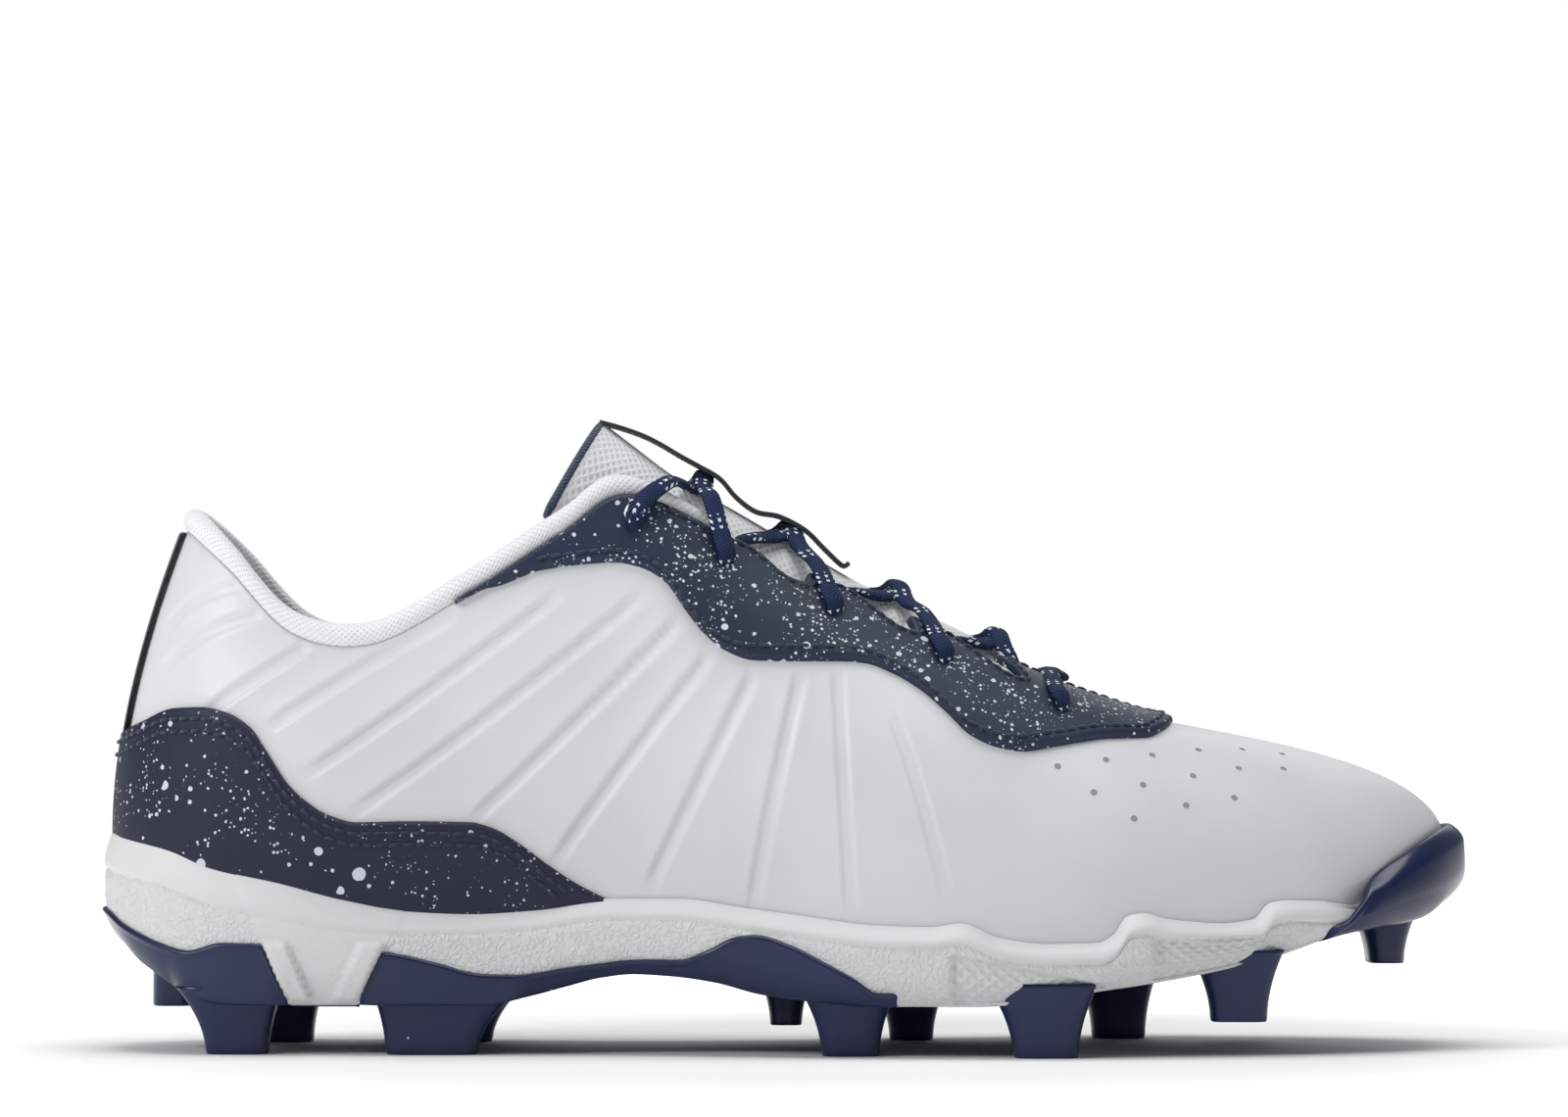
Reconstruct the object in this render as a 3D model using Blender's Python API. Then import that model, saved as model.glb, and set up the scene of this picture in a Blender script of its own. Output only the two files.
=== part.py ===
"""Moulded-stud baseball cleat, right shoe, as separate closed solids.

Frame: metres, X towards the toe, Y towards the medial side, Z up from the floor under the studs.
The last is a ring of rays. Each ray starts at the feather edge on the footbed and ends at the collar or the
throat, and the upper, its overlays, the foam cup, the insole and the collar are all worked out from those rays.
"""

import math

import bpy
import numpy as np

# Driving sizes
LENGTH = 0.300  # over the sole, heel to toe
BALL_WIDTH = 0.102  # over the sole at the ball of the foot
STUD_DROP = 0.011  # floor to the plate's underside under the heel
SOLE_RISE = 0.020  # plate's underside to the foam's rim at the waist
COLLAR_RISE = 0.110  # plate's underside to the collar's top corner
WELT = 0.005  # feather edge of the upper to the sole's outline
GAP = 0.0003  # running gap between pieces that touch

# Walls and layers
UPPER_WALL = 0.002
OVERLAY = 0.0012  # eyestay and heel counter
HEEL_STRIP = 0.0009
RIM_EDGE = 0.0016  # foam rim's thickness at its top
PLATE = 0.0030  # outsole under the footbed
CUP_WALL = 0.0024  # outsole's side wall
CUP_PROUD = 0.0004  # outsole's side wall beyond the foam
PLATE_INSET = 0.0070  # forefoot plate's edge inside the foam's edge
SIDE_TUCK = 0.0042  # side wall's turn-in at the floor side
SIDE_ROUND = 0.0022  # side wall's turn-in at the rim
TUCK_TOP = 0.42  # height share of the side under which it turns in to the floor side
ROUND_START = 0.80  # height share of the side over which it turns in to the rim
INSOLE = 0.0040
TONGUE = 0.0050
COLLAR_ROLL = 0.0027  # radius of the roll on the collar's edge
COLLAR_PAD = 0.0032
PAD_GAP = 0.0009
OVERLAY_SEAT = 0.0005  # overlay's inner face over the upper's
LACE_WIDTH = 0.0042
LACE_THICK = 0.0020
LACE_GAP = 0.0005
STRAP_WIDTH = 0.0120
STRAP_THICK = 0.0013

# Throat
EYELET_LENGTH = 0.0050
EYELET_WIDTH = 0.0032
EYELET_DEPTH = 0.0066  # eyelet's centre under the throat's edge
NOTCH_RADIUS = 0.0042
NOTCH_DEPTH = 0.0032
CUT_LENGTH = 0.0160

# Keystone block between the heel studs
KEY_RIB_WIDTH = 0.0055
KEY_RIB_PROUD = 0.0008
KEY_DEPTH = 0.0060

HALF_LENGTH = LENGTH / 2
FEATHER_LENGTH = HALF_LENGTH - WELT
FEATHER_WIDTH = BALL_WIDTH / 2 - WELT

# The last, a row for each ray from the heel to the toe. Feather edge: length share and the lateral and medial
# width shares. Top edge: length share of half the sole, half width share and middle share of the ball width,
# height share of the collar's rise. Then the ray's shape: swell of the foot of the wall lateral and medial,
# height of that swell, run of the shoulder towards the top edge, its swell and its drop.
LAST = (
    # feather x, lat, med, top x, half, mid, height, swell lat, med, lift, run, shoulder, drop
    (-1.000, 0.000, 0.000, -0.880, 0.000, 0.000, 0.936, 0.050, 0.050, 0.330, 0.35, 0.045, 0.290),
    (-0.972, 0.326, 0.326, -0.857, 0.118, 0.000, 0.914, 0.050, 0.050, 0.330, 0.35, 0.045, 0.290),
    (-0.883, 0.565, 0.565, -0.803, 0.211, 0.000, 0.850, 0.052, 0.050, 0.340, 0.35, 0.045, 0.300),
    (-0.745, 0.663, 0.652, -0.707, 0.270, 0.000, 0.724, 0.052, 0.048, 0.350, 0.35, 0.048, 0.330),
    (-0.579, 0.674, 0.641, -0.587, 0.294, 0.002, 0.706, 0.050, 0.046, 0.360, 0.35, 0.050, 0.340),
    (-0.400, 0.652, 0.565, -0.453, 0.289, 0.004, 0.805, 0.048, 0.050, 0.380, 0.32, 0.050, 0.330),
    (-0.221, 0.696, 0.522, -0.320, 0.260, 0.010, 0.925, 0.044, 0.060, 0.400, 0.30, 0.048, 0.300),
    (-0.041, 0.804, 0.554, -0.227, 0.216, 0.015, 1.000, 0.036, 0.062, 0.420, 0.30, 0.042, 0.250),
    (0.138, 0.935, 0.696, -0.087, 0.181, 0.020, 0.918, 0.030, 0.050, 0.440, 0.32, 0.036, 0.200),
    (0.317, 1.000, 0.891, 0.080, 0.162, 0.025, 0.814, 0.030, 0.034, 0.460, 0.36, 0.032, 0.160),
    (0.497, 0.946, 1.011, 0.240, 0.137, 0.030, 0.718, 0.034, 0.028, 0.500, 0.40, 0.028, 0.130),
    (0.662, 0.815, 0.967, 0.373, 0.108, 0.038, 0.634, 0.044, 0.034, 0.540, 0.44, 0.026, 0.120),
    (0.807, 0.620, 0.837, 0.453, 0.078, 0.043, 0.592, 0.062, 0.050, 0.580, 0.47, 0.026, 0.130),
    (0.924, 0.337, 0.641, 0.510, 0.049, 0.047, 0.567, 0.080, 0.070, 0.610, 0.49, 0.028, 0.150),
    (0.983, 0.065, 0.424, 0.537, 0.022, 0.049, 0.560, 0.094, 0.088, 0.630, 0.50, 0.030, 0.170),
    (1.000, -0.174, -0.174, 0.543, 0.000, 0.049, 0.557, 0.098, 0.098, 0.630, 0.50, 0.030, 0.175),
)

# Heights along the sole: length share of half the sole, height share of the sole's rise over the plate
FOOTBED = ((-1.0, 1.10), (-0.95, 0.93), (-0.85, 0.86), (-0.40, 0.83), (-0.10, 0.62), (0.20, 0.44), (0.35, 0.40),
           (0.53, 0.56), (0.73, 0.82), (0.88, 1.12), (1.0, 1.38))
UNDERSIDE = ((-1.0, 0.65), (-0.947, 0.40), (-0.867, 0.10), (-0.787, 0.00), (-0.433, 0.00), (-0.367, 0.09),
             (-0.313, 0.20), (-0.267, 0.29), (-0.22, 0.33), (-0.167, 0.31), (-0.107, 0.25), (-0.037, 0.12),
             (0.05, 0.04), (0.133, 0.00), (0.267, 0.00), (0.47, 0.18), (0.58, 0.30), (0.72, 0.52), (0.82, 0.74),
             (0.957, 0.90), (1.0, 1.05))
SIDE_TOP = ((-1.0, 1.85), (-0.973, 1.80), (-0.893, 1.67), (-0.827, 1.48), (-0.727, 1.32), (-0.633, 1.14),
            (-0.54, 1.02), (-0.447, 0.99), (-0.357, 1.03), (-0.25, 1.13), (-0.153, 1.13), (-0.063, 1.04),
            (0.027, 0.95), (0.117, 0.865), (0.204, 0.845), (0.249, 0.885), (0.307, 0.73), (0.377, 0.665),
            (0.449, 0.675), (0.471, 0.75), (0.493, 0.96), (0.516, 0.99), (0.553, 0.925), (0.637, 0.875),
            (0.68, 0.915), (0.703, 1.085), (0.725, 1.115), (0.791, 1.105), (0.83, 1.21), (0.853, 1.28),
            (0.92, 1.62), (0.983, 1.86), (1.0, 1.90))
RIM_DROP = ((0.0, 0.0), (0.835, 0.0), (0.86, 0.22), (0.90, 0.42), (0.95, 0.52), (1.0, 0.52))
CUP_TOP = ((-1.0, 1.00), (-0.96, 0.83), (-0.90, 0.64), (-0.857, 0.565), (-0.807, 0.65), (-0.567, 0.55),
           (-0.503, 0.45), (-0.433, 0.32), (-0.38, 0.31), (-0.32, 0.375), (-0.28, 0.415), (-0.2, 0.475),
           (-0.153, 0.475), (-0.107, 0.59), (-0.07, 0.725), (-0.04, 0.75), (0.007, 0.65), (0.051, 0.49),
           (0.095, 0.31), (0.145, 0.08))
# Rays, heel to toe: the side wall ends, the plate's edge slips in, the foam comes down beside it, the foam goes up
# again, the plate's edge comes out, the foam's side goes in, the toe bumper starts
CUP_END = 8.0
SLIP_IN = (8.06, 8.20)
FOAM_LOW = (8.26, 11.67)
SLIP_OUT = (11.73, 12.0)
FOAM_END = 12.06
BUMPER_START = 12.13
BUMPER_TOP = ((0.80, 0.90), (0.823, 1.00), (0.853, 1.27), (0.92, 1.62), (0.983, 1.86), (1.0, 1.90))

# Keystone: edge line at its top and at its foot, as length shares, and its top's height share
KEY_TOP = (-0.750, -0.567)
KEY_FOOT = (-0.712, -0.612)
KEY_HEIGHT = 0.68

# Studs: length share, width share of half the ball width, length, width, floor height, flare fore, aft and across,
# all in shares of the stud drop
STUDS = (
    # name, x, y, length, width, height, flare fore, flare aft, flare across
    ("heel_lateral", -0.788, -0.49, 1.24, 0.82, 0.00, 0.30, 0.60, 0.30),
    ("heel_medial", -0.750, 0.49, 1.24, 0.82, 0.00, 0.30, 0.60, 0.30),
    ("waist_lateral", -0.507, -0.53, 1.82, 0.82, 0.00, 0.90, 0.30, 0.30),
    ("waist_medial", -0.500, 0.51, 1.72, 0.82, 0.00, 0.90, 0.30, 0.30),
    ("heel_rear", -0.905, 0.00, 0.82, 1.70, 0.86, 0.30, 0.30, 0.25),
    ("shank", 0.003, -0.05, 0.64, 1.20, 0.48, 0.25, 0.25, 0.25),
    ("ball_rear_lateral", 0.095, -0.66, 1.14, 0.86, 0.00, 0.38, 0.45, 0.34),
    ("ball_rear_medial", 0.192, 0.66, 0.90, 0.86, 0.00, 0.38, 0.45, 0.34),
    ("ball_lateral", 0.373, -0.80, 1.27, 0.90, 0.00, 0.40, 0.55, 0.30),
    ("ball_medial", 0.507, 0.80, 1.10, 0.90, 0.00, 0.40, 0.50, 0.30),
    ("fore_lateral", 0.653, -0.60, 1.10, 0.86, 0.66, 0.34, 0.45, 0.34),
    ("fore_medial", 0.690, 0.66, 1.05, 0.86, 0.82, 0.34, 0.45, 0.34),
    ("toe", 0.887, 0.10, 0.74, 1.55, 1.69, 0.30, 0.36, 0.30),
)
STUD_SIDES = 8
STUD_SQUARE = 3.2  # exponent of the stud's rounded outline

# Rows of the tongue from its hidden front end to its top. Crest: length and height shares. Wing: length share,
# half width share of the ball width, height share. Last, thickness as a share of TONGUE.
TONGUE_ROWS = (
    # crest x, crest z, wing x, wing y, wing z, thickness
    (0.610, 0.475, 0.593, 0.120, 0.395, 0.60),
    (0.530, 0.522, 0.513, 0.127, 0.405, 0.70),
    (0.463, 0.576, 0.440, 0.127, 0.425, 0.75),
    (0.397, 0.629, 0.373, 0.130, 0.448, 0.80),
    (0.285, 0.720, 0.255, 0.166, 0.515, 0.85),
    (0.130, 0.819, 0.093, 0.196, 0.605, 0.90),
    (0.000, 0.920, -0.045, 0.214, 0.680, 1.00),
    (-0.073, 0.978, -0.127, 0.202, 0.755, 1.00),
    (-0.158, 1.043, -0.220, 0.186, 0.845, 1.00),
    (-0.227, 1.113, -0.300, 0.196, 0.905, 1.05),
    (-0.267, 1.155, -0.345, 0.212, 0.962, 1.10),
)
TONGUE_ACROSS = 9

# Lower edge of the eyestay and top edge of the heel counter: length and height shares, seen from the side
EYESTAY_EDGE = ((-0.430, 0.815), (-0.350, 0.850), (-0.280, 0.863), (-0.243, 0.866), (-0.207, 0.856),
                (-0.171, 0.827), (-0.143, 0.773), (-0.117, 0.728), (-0.082, 0.690), (-0.045, 0.673),
                (0.009, 0.671), (0.080, 0.671), (0.117, 0.667), (0.155, 0.648), (0.197, 0.614),
                (0.233, 0.571), (0.267, 0.526), (0.306, 0.502), (0.341, 0.494), (0.397, 0.505),
                (0.469, 0.519), (0.523, 0.521), (0.550, 0.535), (0.574, 0.560), (0.620, 0.700),
                (1.000, 2.000))
EYESTAY_START = 4.85  # ray where the eyestay leaves the collar
COUNTER_EDGE = ((-0.980, 0.530), (-0.930, 0.552), (-0.879, 0.579), (-0.837, 0.581), (-0.803, 0.571),
                (-0.768, 0.542), (-0.745, 0.498), (-0.727, 0.460), (-0.712, 0.431), (-0.684, 0.396),
                (-0.656, 0.372), (-0.613, 0.356), (-0.544, 0.358), (-0.451, 0.356), (-0.419, 0.345),
                (-0.381, 0.315), (-0.335, 0.269), (-0.280, 0.223), (-0.240, 0.202))
COUNTER_END = 6.2  # last ray that the counter reaches
COUNTER_CLEAR = 0.0008
ROW_STEP = 0.012  # least share between two rows of an overlay
HEEL_STRIP_SPREAD = 0.9  # rays between the heel strip's edges

# Eyelets from the collar to the toe, and the notches between them, as length shares along the throat's edge
EYELETS = (-0.222, -0.104, 0.057, 0.219, 0.386)
NOTCHES = (-0.042, 0.140, 0.297, 0.452)

# Crossings from the toe to the collar: length shares of the two ends, and where the crossing lies
CROSSINGS = ((0.363, 0.256, 0.309), (0.225, 0.100, 0.171), (0.064, -0.055, 0.011), (-0.098, -0.155, -0.126))
FRONT_BAR = 0.405
STRAP_END = 0.076  # length share of the keeper's front end
STRAP_LIFT = 0.0068  # distance from a crossing over which the keeper stays lifted
STRAP_SETTLE = 0.0105  # distance from a crossing where it lies on the tongue again
LACE_SIDES = 6
LACE_STEPS = 7  # sections of one run of lace
HOLE_SIDES = 8

# Collar's section: turns of the roll's points in degrees, the rays between which the pad thins out, the pad's
# thickness and its share of the ray in front of the ankle, and what the ankle adds to each
ROLL_TURNS = (-50, 10, 70, 130)
ANKLE_FADE = (5.0, 6.6)
PAD_THICKNESS = (0.25, 0.75)
PAD_REACH = (0.035, 0.24)
PAD_TOP = 0.97  # share of the ray where the pad starts
PAD_FOOT = 0.8  # share of the pad's reach where it starts to thin
EDGE_SHARE = 0.96  # share of a ray that gives the direction at its top edge
EYESTAY_TOP = 0.985  # share under which the eyestay's rows stay
STRIP_TOP = 0.99  # share where the heel strip ends

# Samples between two rays of the last, heel to toe
SPLITS = (2, 2, 2, 2, 2, 2, 2, 2, 2, 2, 3, 3, 2, 2, 3)
CUP_ROWS = (0.0, 0.5, 1.0)
UPPER_ROWS = (0.20, 0.40, 0.60, 0.80, 1.0)
WALL_BANDS = (0.14, 0.55)  # height shares of the outsole's side wall
FOAM_BANDS = (0.30, 0.65, 1.0)  # height shares of the foam's side, from its rim down
RIM_ROUND = ((0.65, 0.15), (1.0, -0.45))  # foam rim's round: spread and rise in shares of its edge

COLOURS = {
    # name: colour, roughness
    "navy_rubber": ((0.024, 0.031, 0.094), 0.30),
    "white_foam": ((0.80, 0.80, 0.79), 0.60),
    "white_synthetic": ((0.78, 0.79, 0.80), 0.50),
    "white_mesh": ((0.74, 0.75, 0.76), 0.90),
    "navy_speckle": ((0.026, 0.034, 0.058), 0.75),
    "navy_webbing": ((0.010, 0.012, 0.022), 0.85),
    "navy_lace": ((0.030, 0.040, 0.085), 0.80),
    "grey_insole": ((0.45, 0.46, 0.48), 0.90),
}


def base_height(share):
    """Height over the floor of a share of the sole's rise."""
    return STUD_DROP + share * SOLE_RISE


def high_height(share):
    """Height over the floor of a share of the collar's rise."""
    return STUD_DROP + share * COLLAR_RISE


def smooth_step(low, high, value):
    """Rises from 0 at low to 1 at high with flat ends."""
    share = np.clip((value - low) / (high - low), 0.0, 1.0)
    return share * share * (3.0 - 2.0 * share)


def along(table, place):
    """Value of a two-column table at a place, on a curve that never overshoots its rows."""
    knots = np.array([row[0] for row in table])
    values = np.array([row[1] for row in table])
    steps = np.diff(knots)
    slopes = np.diff(values) / steps
    ends = np.zeros(len(knots))
    same = slopes[:-1] * slopes[1:] > 0
    ends[1:-1][same] = 2.0 * slopes[:-1][same] * slopes[1:][same] / (slopes[:-1][same] + slopes[1:][same])
    spot = np.clip(np.asarray(place, dtype=float), knots[0], knots[-1])
    cell = np.clip(np.searchsorted(knots, spot) - 1, 0, len(steps) - 1)
    share = (spot - knots[cell]) / steps[cell]
    rise = values[cell + 1] - values[cell]
    bend = (ends[cell] * (1 - share) - ends[cell + 1] * share) * steps[cell] - rise * (1 - 2 * share)
    return values[cell] + rise * share + bend * share * (1 - share)


def footbed(x):
    """Height of the foam under the insole."""
    return base_height(along(FOOTBED, x / HALF_LENGTH))


def underside(x):
    """Height of the sole's underside between the studs."""
    return base_height(along(UNDERSIDE, x / HALF_LENGTH))


def side_top(x):
    """Height where the sole's side ends against the upper."""
    return base_height(along(SIDE_TOP, x / HALF_LENGTH))


def foam_rim(x):
    """Height of the foam's rim, which drops behind the toe bumper."""
    return np.maximum(side_top(x) - along(RIM_DROP, x / HALF_LENGTH) * SOLE_RISE, footbed(x) + RIM_EDGE * 1.5)


def ring_knots(lateral, medial):
    """One column of the last round the whole ring, from the heel over the lateral side and back."""
    return np.concatenate([lateral, medial[-2:0:-1]])


def ring_value(knots, place):
    """A column of the last at ring places, on a closed smooth curve through its rays."""
    place = np.asarray(place, dtype=float)
    cell = np.floor(place).astype(int)
    share = place - cell
    count = len(knots)
    before, start, end, after = (knots[(cell + step) % count] for step in (-1, 0, 1, 2))
    bend = (2 * before - 5 * start + 4 * end - after) + share * (3 * (start - end) + after - before)
    return start + 0.5 * share * ((end - before) + share * bend)


ROWS = np.array(LAST)
RAYS = len(ROWS) - 1
MIDDLE = ROWS[:, 5] * BALL_WIDTH
HALF = ROWS[:, 4] * BALL_WIDTH
FEATHER_X = ring_knots(ROWS[:, 0], ROWS[:, 0]) * FEATHER_LENGTH
FEATHER_Y = ring_knots(-ROWS[:, 1], ROWS[:, 2]) * FEATHER_WIDTH
FEATHER_Y[RAYS] = -ROWS[RAYS, 1] * FEATHER_WIDTH
TOP_X = ring_knots(ROWS[:, 3], ROWS[:, 3]) * HALF_LENGTH
TOP_Y = ring_knots(MIDDLE - HALF, MIDDLE + HALF)
TOP_Z = high_height(ring_knots(ROWS[:, 6], ROWS[:, 6]))
SWELL = ring_knots(ROWS[:, 7], ROWS[:, 8]) * BALL_WIDTH
LIFT = ring_knots(ROWS[:, 9], ROWS[:, 9])
RUN = ring_knots(ROWS[:, 10], ROWS[:, 10])
SHOULDER = ring_knots(ROWS[:, 11], ROWS[:, 11]) * BALL_WIDTH
DROP = ring_knots(ROWS[:, 12], ROWS[:, 12])


def ring_places():
    """Ring places of all samples, heel to toe and back."""
    lateral = [ray + step / count for ray, count in enumerate(SPLITS) for step in range(count)]
    lateral = sorted(lateral + [*SLIP_IN, *FOAM_LOW, SLIP_OUT[0], FOAM_END, BUMPER_START])
    medial = [2 * RAYS - place for place in lateral[:0:-1]]
    return np.array(lateral + [float(RAYS)] + medial)


def feather(place):
    """Plan point of the feather edge."""
    return np.stack([ring_value(FEATHER_X, place), ring_value(FEATHER_Y, place)], axis=-1)


def outward(place):
    """Plan direction that points out of the feather edge."""
    step = 0.05
    along_edge = feather(np.asarray(place) + step) - feather(np.asarray(place) - step)
    turned = np.stack([along_edge[..., 1], -along_edge[..., 0]], axis=-1)
    return turned / np.linalg.norm(turned, axis=-1, keepdims=True)


def last_point(place, share):
    """Point of the upper's outer face on a ray, from 0 at the footbed to 1 at the top edge."""
    place = np.asarray(place, dtype=float)
    share = np.asarray(share, dtype=float)[..., None]
    foot = feather(place)
    out = outward(place)
    start = np.concatenate([foot, (footbed(foot[..., 0]) + GAP)[..., None]], axis=-1)
    end = np.stack([ring_value(TOP_X, place), ring_value(TOP_Y, place), ring_value(TOP_Z, place)], axis=-1)
    height = end[..., 2:] - start[..., 2:]
    low = np.concatenate([foot + out * ring_value(SWELL, place)[..., None],
                          start[..., 2:] + height * ring_value(LIFT, place)[..., None]], axis=-1)
    plan = (end[..., :2] + (foot - end[..., :2]) * ring_value(RUN, place)[..., None]
            + out * ring_value(SHOULDER, place)[..., None])
    high = np.concatenate([plan, end[..., 2:] - height * ring_value(DROP, place)[..., None]], axis=-1)
    rest = 1.0 - share
    return start * rest**3 + 3 * low * rest**2 * share + 3 * high * rest * share**2 + end * share**3


def last_normal(place, share):
    """Direction out of the upper's outer face."""
    step = 0.02
    place = np.asarray(place, dtype=float)
    share = np.clip(np.asarray(share, dtype=float), step, 1.0 - step)
    round_ring = last_point(place + step, share) - last_point(place - step, share)
    up_ray = last_point(place, share + step) - last_point(place, share - step)
    normal = np.cross(round_ring, up_ray)
    return normal / np.linalg.norm(normal, axis=-1, keepdims=True)


def last_offset(place, share, distance):
    """Point at a distance from the upper's outer face, out where it is positive."""
    normal = last_normal(place, share)
    return last_point(place, share) + normal * np.asarray(distance)[..., None]


def share_where(place, test):
    """Highest share of each ray up to which a test of its points holds, by halving."""
    low = np.zeros(len(place))
    high = np.ones(len(place))
    for _ in range(24):
        middle = (low + high) / 2
        holds = test(last_point(place, middle))
        low = np.where(holds, middle, low)
        high = np.where(holds, high, middle)
    return low


def below_edge(table):
    """Test for points under an edge that is given as length and height shares."""
    return lambda points: points[:, 2] < high_height(along(table, points[:, 0] / HALF_LENGTH))


PLACES = ring_places()
RIM_SHARE = share_where(PLACES, lambda points: points[:, 2] < foam_rim(points[:, 0]))


def side_offset(place, height):
    """Distance from the feather edge to the sole's side at a height."""
    edge = feather(place) + outward(place) * WELT
    low = underside(edge[:, 0])
    share = (height - low) / (side_top(edge[:, 0]) - low)
    tuck = SIDE_TUCK * np.clip(1.0 - share / TUCK_TOP, 0.0, 1.0) ** 2
    turn = SIDE_ROUND * np.clip((share - ROUND_START) / (1.0 - ROUND_START), 0.0, 1.5) ** 2
    return WELT - tuck - turn


def side_y(x, height, side):
    """Width place of the sole's side at a length and a height, on the lateral or the medial side."""
    half = PLACES <= RAYS if side < 0 else PLACES >= RAYS
    heights = np.full(half.sum(), height)
    ring = plan_ring(PLACES[half], side_offset(PLACES[half], heights), heights)
    order = np.argsort(ring[:, 0])
    return float(np.interp(x, ring[order, 0], ring[order, 1]))


def new_mesh(name, points, faces):
    """Mesh with its faces pointing out."""
    corners = np.array(points)
    triangles = np.array(faces)
    first, second, third = (corners[triangles[:, corner]] for corner in range(3))
    volume = np.einsum("ij,ij->i", first, np.cross(second, third)).sum()
    if volume < 0:
        triangles = triangles[:, ::-1]
    mesh = bpy.data.meshes.new(name)
    mesh.from_pydata(corners.tolist(), [], triangles.tolist())
    mesh.update()
    return mesh


def ladder(start, count, tip):
    """Triangles that close a loop by rungs from one side to the other."""
    faces = []
    left, right = (1, count - 1) if tip else (0, count - 1)
    if tip:
        faces.append((start, start + 1, start + count - 1))
    while right - left > 2:
        faces.append((start + left, start + left + 1, start + right - 1))
        faces.append((start + left, start + right - 1, start + right))
        left, right = left + 1, right - 1
    if right - left == 2:
        faces.append((start + left, start + left + 1, start + right))
    return faces


def loft(name, rings, tip=False, closed=False):
    """Closed solid through rings of equal count, capped by ladders, or joined to its first ring."""
    count = len(rings[0])
    points = np.concatenate(rings)
    faces = []
    bands = len(rings) if closed else len(rings) - 1
    for band in range(bands):
        low = band * count
        high = ((band + 1) % len(rings)) * count
        for spot in range(count):
            after = (spot + 1) % count
            faces.append((low + spot, low + after, high + after))
            faces.append((low + spot, high + after, high + spot))
    if not closed:
        faces += [face[::-1] for face in ladder(0, count, tip)]
        faces += ladder((len(rings) - 1) * count, count, tip)
    return new_mesh(name, points, faces)


def shell_patch(name, outer, inner):
    """Closed solid between two sheets of points, whose inner sheet is split as the upper's outer face is."""
    sections = [np.concatenate([inner[column], outer[column][::-1]]) for column in range(len(outer))]
    return loft(name, sections)


def material(name):
    """Plain material of a named colour."""
    if name in bpy.data.materials:
        return bpy.data.materials[name]
    colour, roughness = COLOURS[name]
    made = bpy.data.materials.new(name)
    made.use_nodes = True
    shader = made.node_tree.nodes["Principled BSDF"]
    shader.inputs["Base Color"].default_value = (*colour, 1.0)
    shader.inputs["Roughness"].default_value = roughness
    return made


def add_piece(mesh, finish, collection):
    """Object for a mesh, shaded smooth with its sharp edges kept."""
    piece = bpy.data.objects.new(mesh.name, mesh)
    collection.objects.link(piece)
    if finish:
        mesh.materials.append(material(finish))
        mesh.shade_smooth()
        mesh.set_sharp_from_angle(angle=math.radians(40))
    return piece


def add_tool(mesh, collection):
    """Object that only cuts or joins another one."""
    tool = add_piece(mesh, None, collection)
    tool.hide_render = True
    tool.display_type = "WIRE"
    return tool


def boolean(piece, operation, tool=None, tools=None):
    """Boolean modifier with one tool or a collection of tools."""
    modifier = piece.modifiers.new(operation.title(), "BOOLEAN")
    modifier.operation = operation
    modifier.solver = "EXACT"
    if tools:
        modifier.operand_type = "COLLECTION"
        modifier.collection = tools
    else:
        modifier.object = tool
    return modifier


def upper_shares():
    """Shares of the upper's rows on each ray: those in the foam cup, then those over its rim."""
    inside = [RIM_SHARE * row for row in CUP_ROWS]
    over = [RIM_SHARE + (1.0 - RIM_SHARE) * row for row in UPPER_ROWS]
    return inside + over


def upper_mesh():
    """Hollow upper, open at the top edge and underneath."""
    shares = upper_shares()
    outer = [last_point(PLACES, share) for share in shares]
    inner = [last_offset(PLACES, share, -UPPER_WALL) for share in shares]
    inner[0][:, 2] = outer[0][:, 2]
    return loft("upper", outer + inner[::-1], closed=True)


def cup_wall_top(x, ray):
    """Height of the outsole's side wall: heel and waist wall, forefoot plate, toe bumper."""
    share = x / HALF_LENGTH
    plate = underside(x) + PLATE
    rear = np.maximum(base_height(along(CUP_TOP, share)), plate)
    bumper = np.maximum(base_height(along(BUMPER_TOP, share)), plate)
    return np.where(ray <= CUP_END, rear, np.where(ray >= BUMPER_START, bumper, plate))


def plate_inset(ray):
    """How far the plate's edge lies inside the foam's edge."""
    return PLATE_INSET * smooth_step(*SLIP_IN, ray) * (1.0 - smooth_step(*SLIP_OUT, ray))


def upper_reach(place, height):
    """Distance from the feather edge to the upper's outer face at a height."""
    share = share_where(place, lambda points: points[:, 2] < height)
    wall = last_point(place, share)[:, :2] - feather(place)
    return (wall * outward(place)).sum(axis=1)


def plan_ring(place, reach, height):
    """Ring at distances from the feather edge and at heights."""
    return np.column_stack([feather(place) + outward(place) * reach[:, None], height])


def sole_sizes():
    """Heights and distances that the outsole and the foam share, an array for each by name."""
    plan_x = (feather(PLACES) + outward(PLACES) * WELT)[:, 0]
    ray = np.minimum(PLACES, 2 * RAYS - PLACES)
    size = {"low": underside(plan_x), "inset": plate_inset(ray), "top": cup_wall_top(plan_x, ray), "ray": ray}
    size["floor"] = size["low"] + PLATE
    size["middle"] = (size["floor"] + size["top"]) / 2
    size["walled"] = size["top"] > size["floor"] + GAP
    size["crest"] = np.maximum(side_offset(PLACES, size["top"]) + CUP_PROUD - size["inset"],
                               upper_room(size, size["top"]) + CUP_WALL * 0.4)
    size["lip"] = np.maximum(size["crest"] - CUP_WALL, upper_room(size, size["top"]))
    size["wall"] = np.maximum(side_offset(PLACES, size["middle"]) + CUP_PROUD - size["inset"] - CUP_WALL,
                              upper_room(size, size["middle"]))
    size["corner"] = side_offset(PLACES, size["floor"]) - size["inset"] - CUP_WALL
    return size


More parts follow.
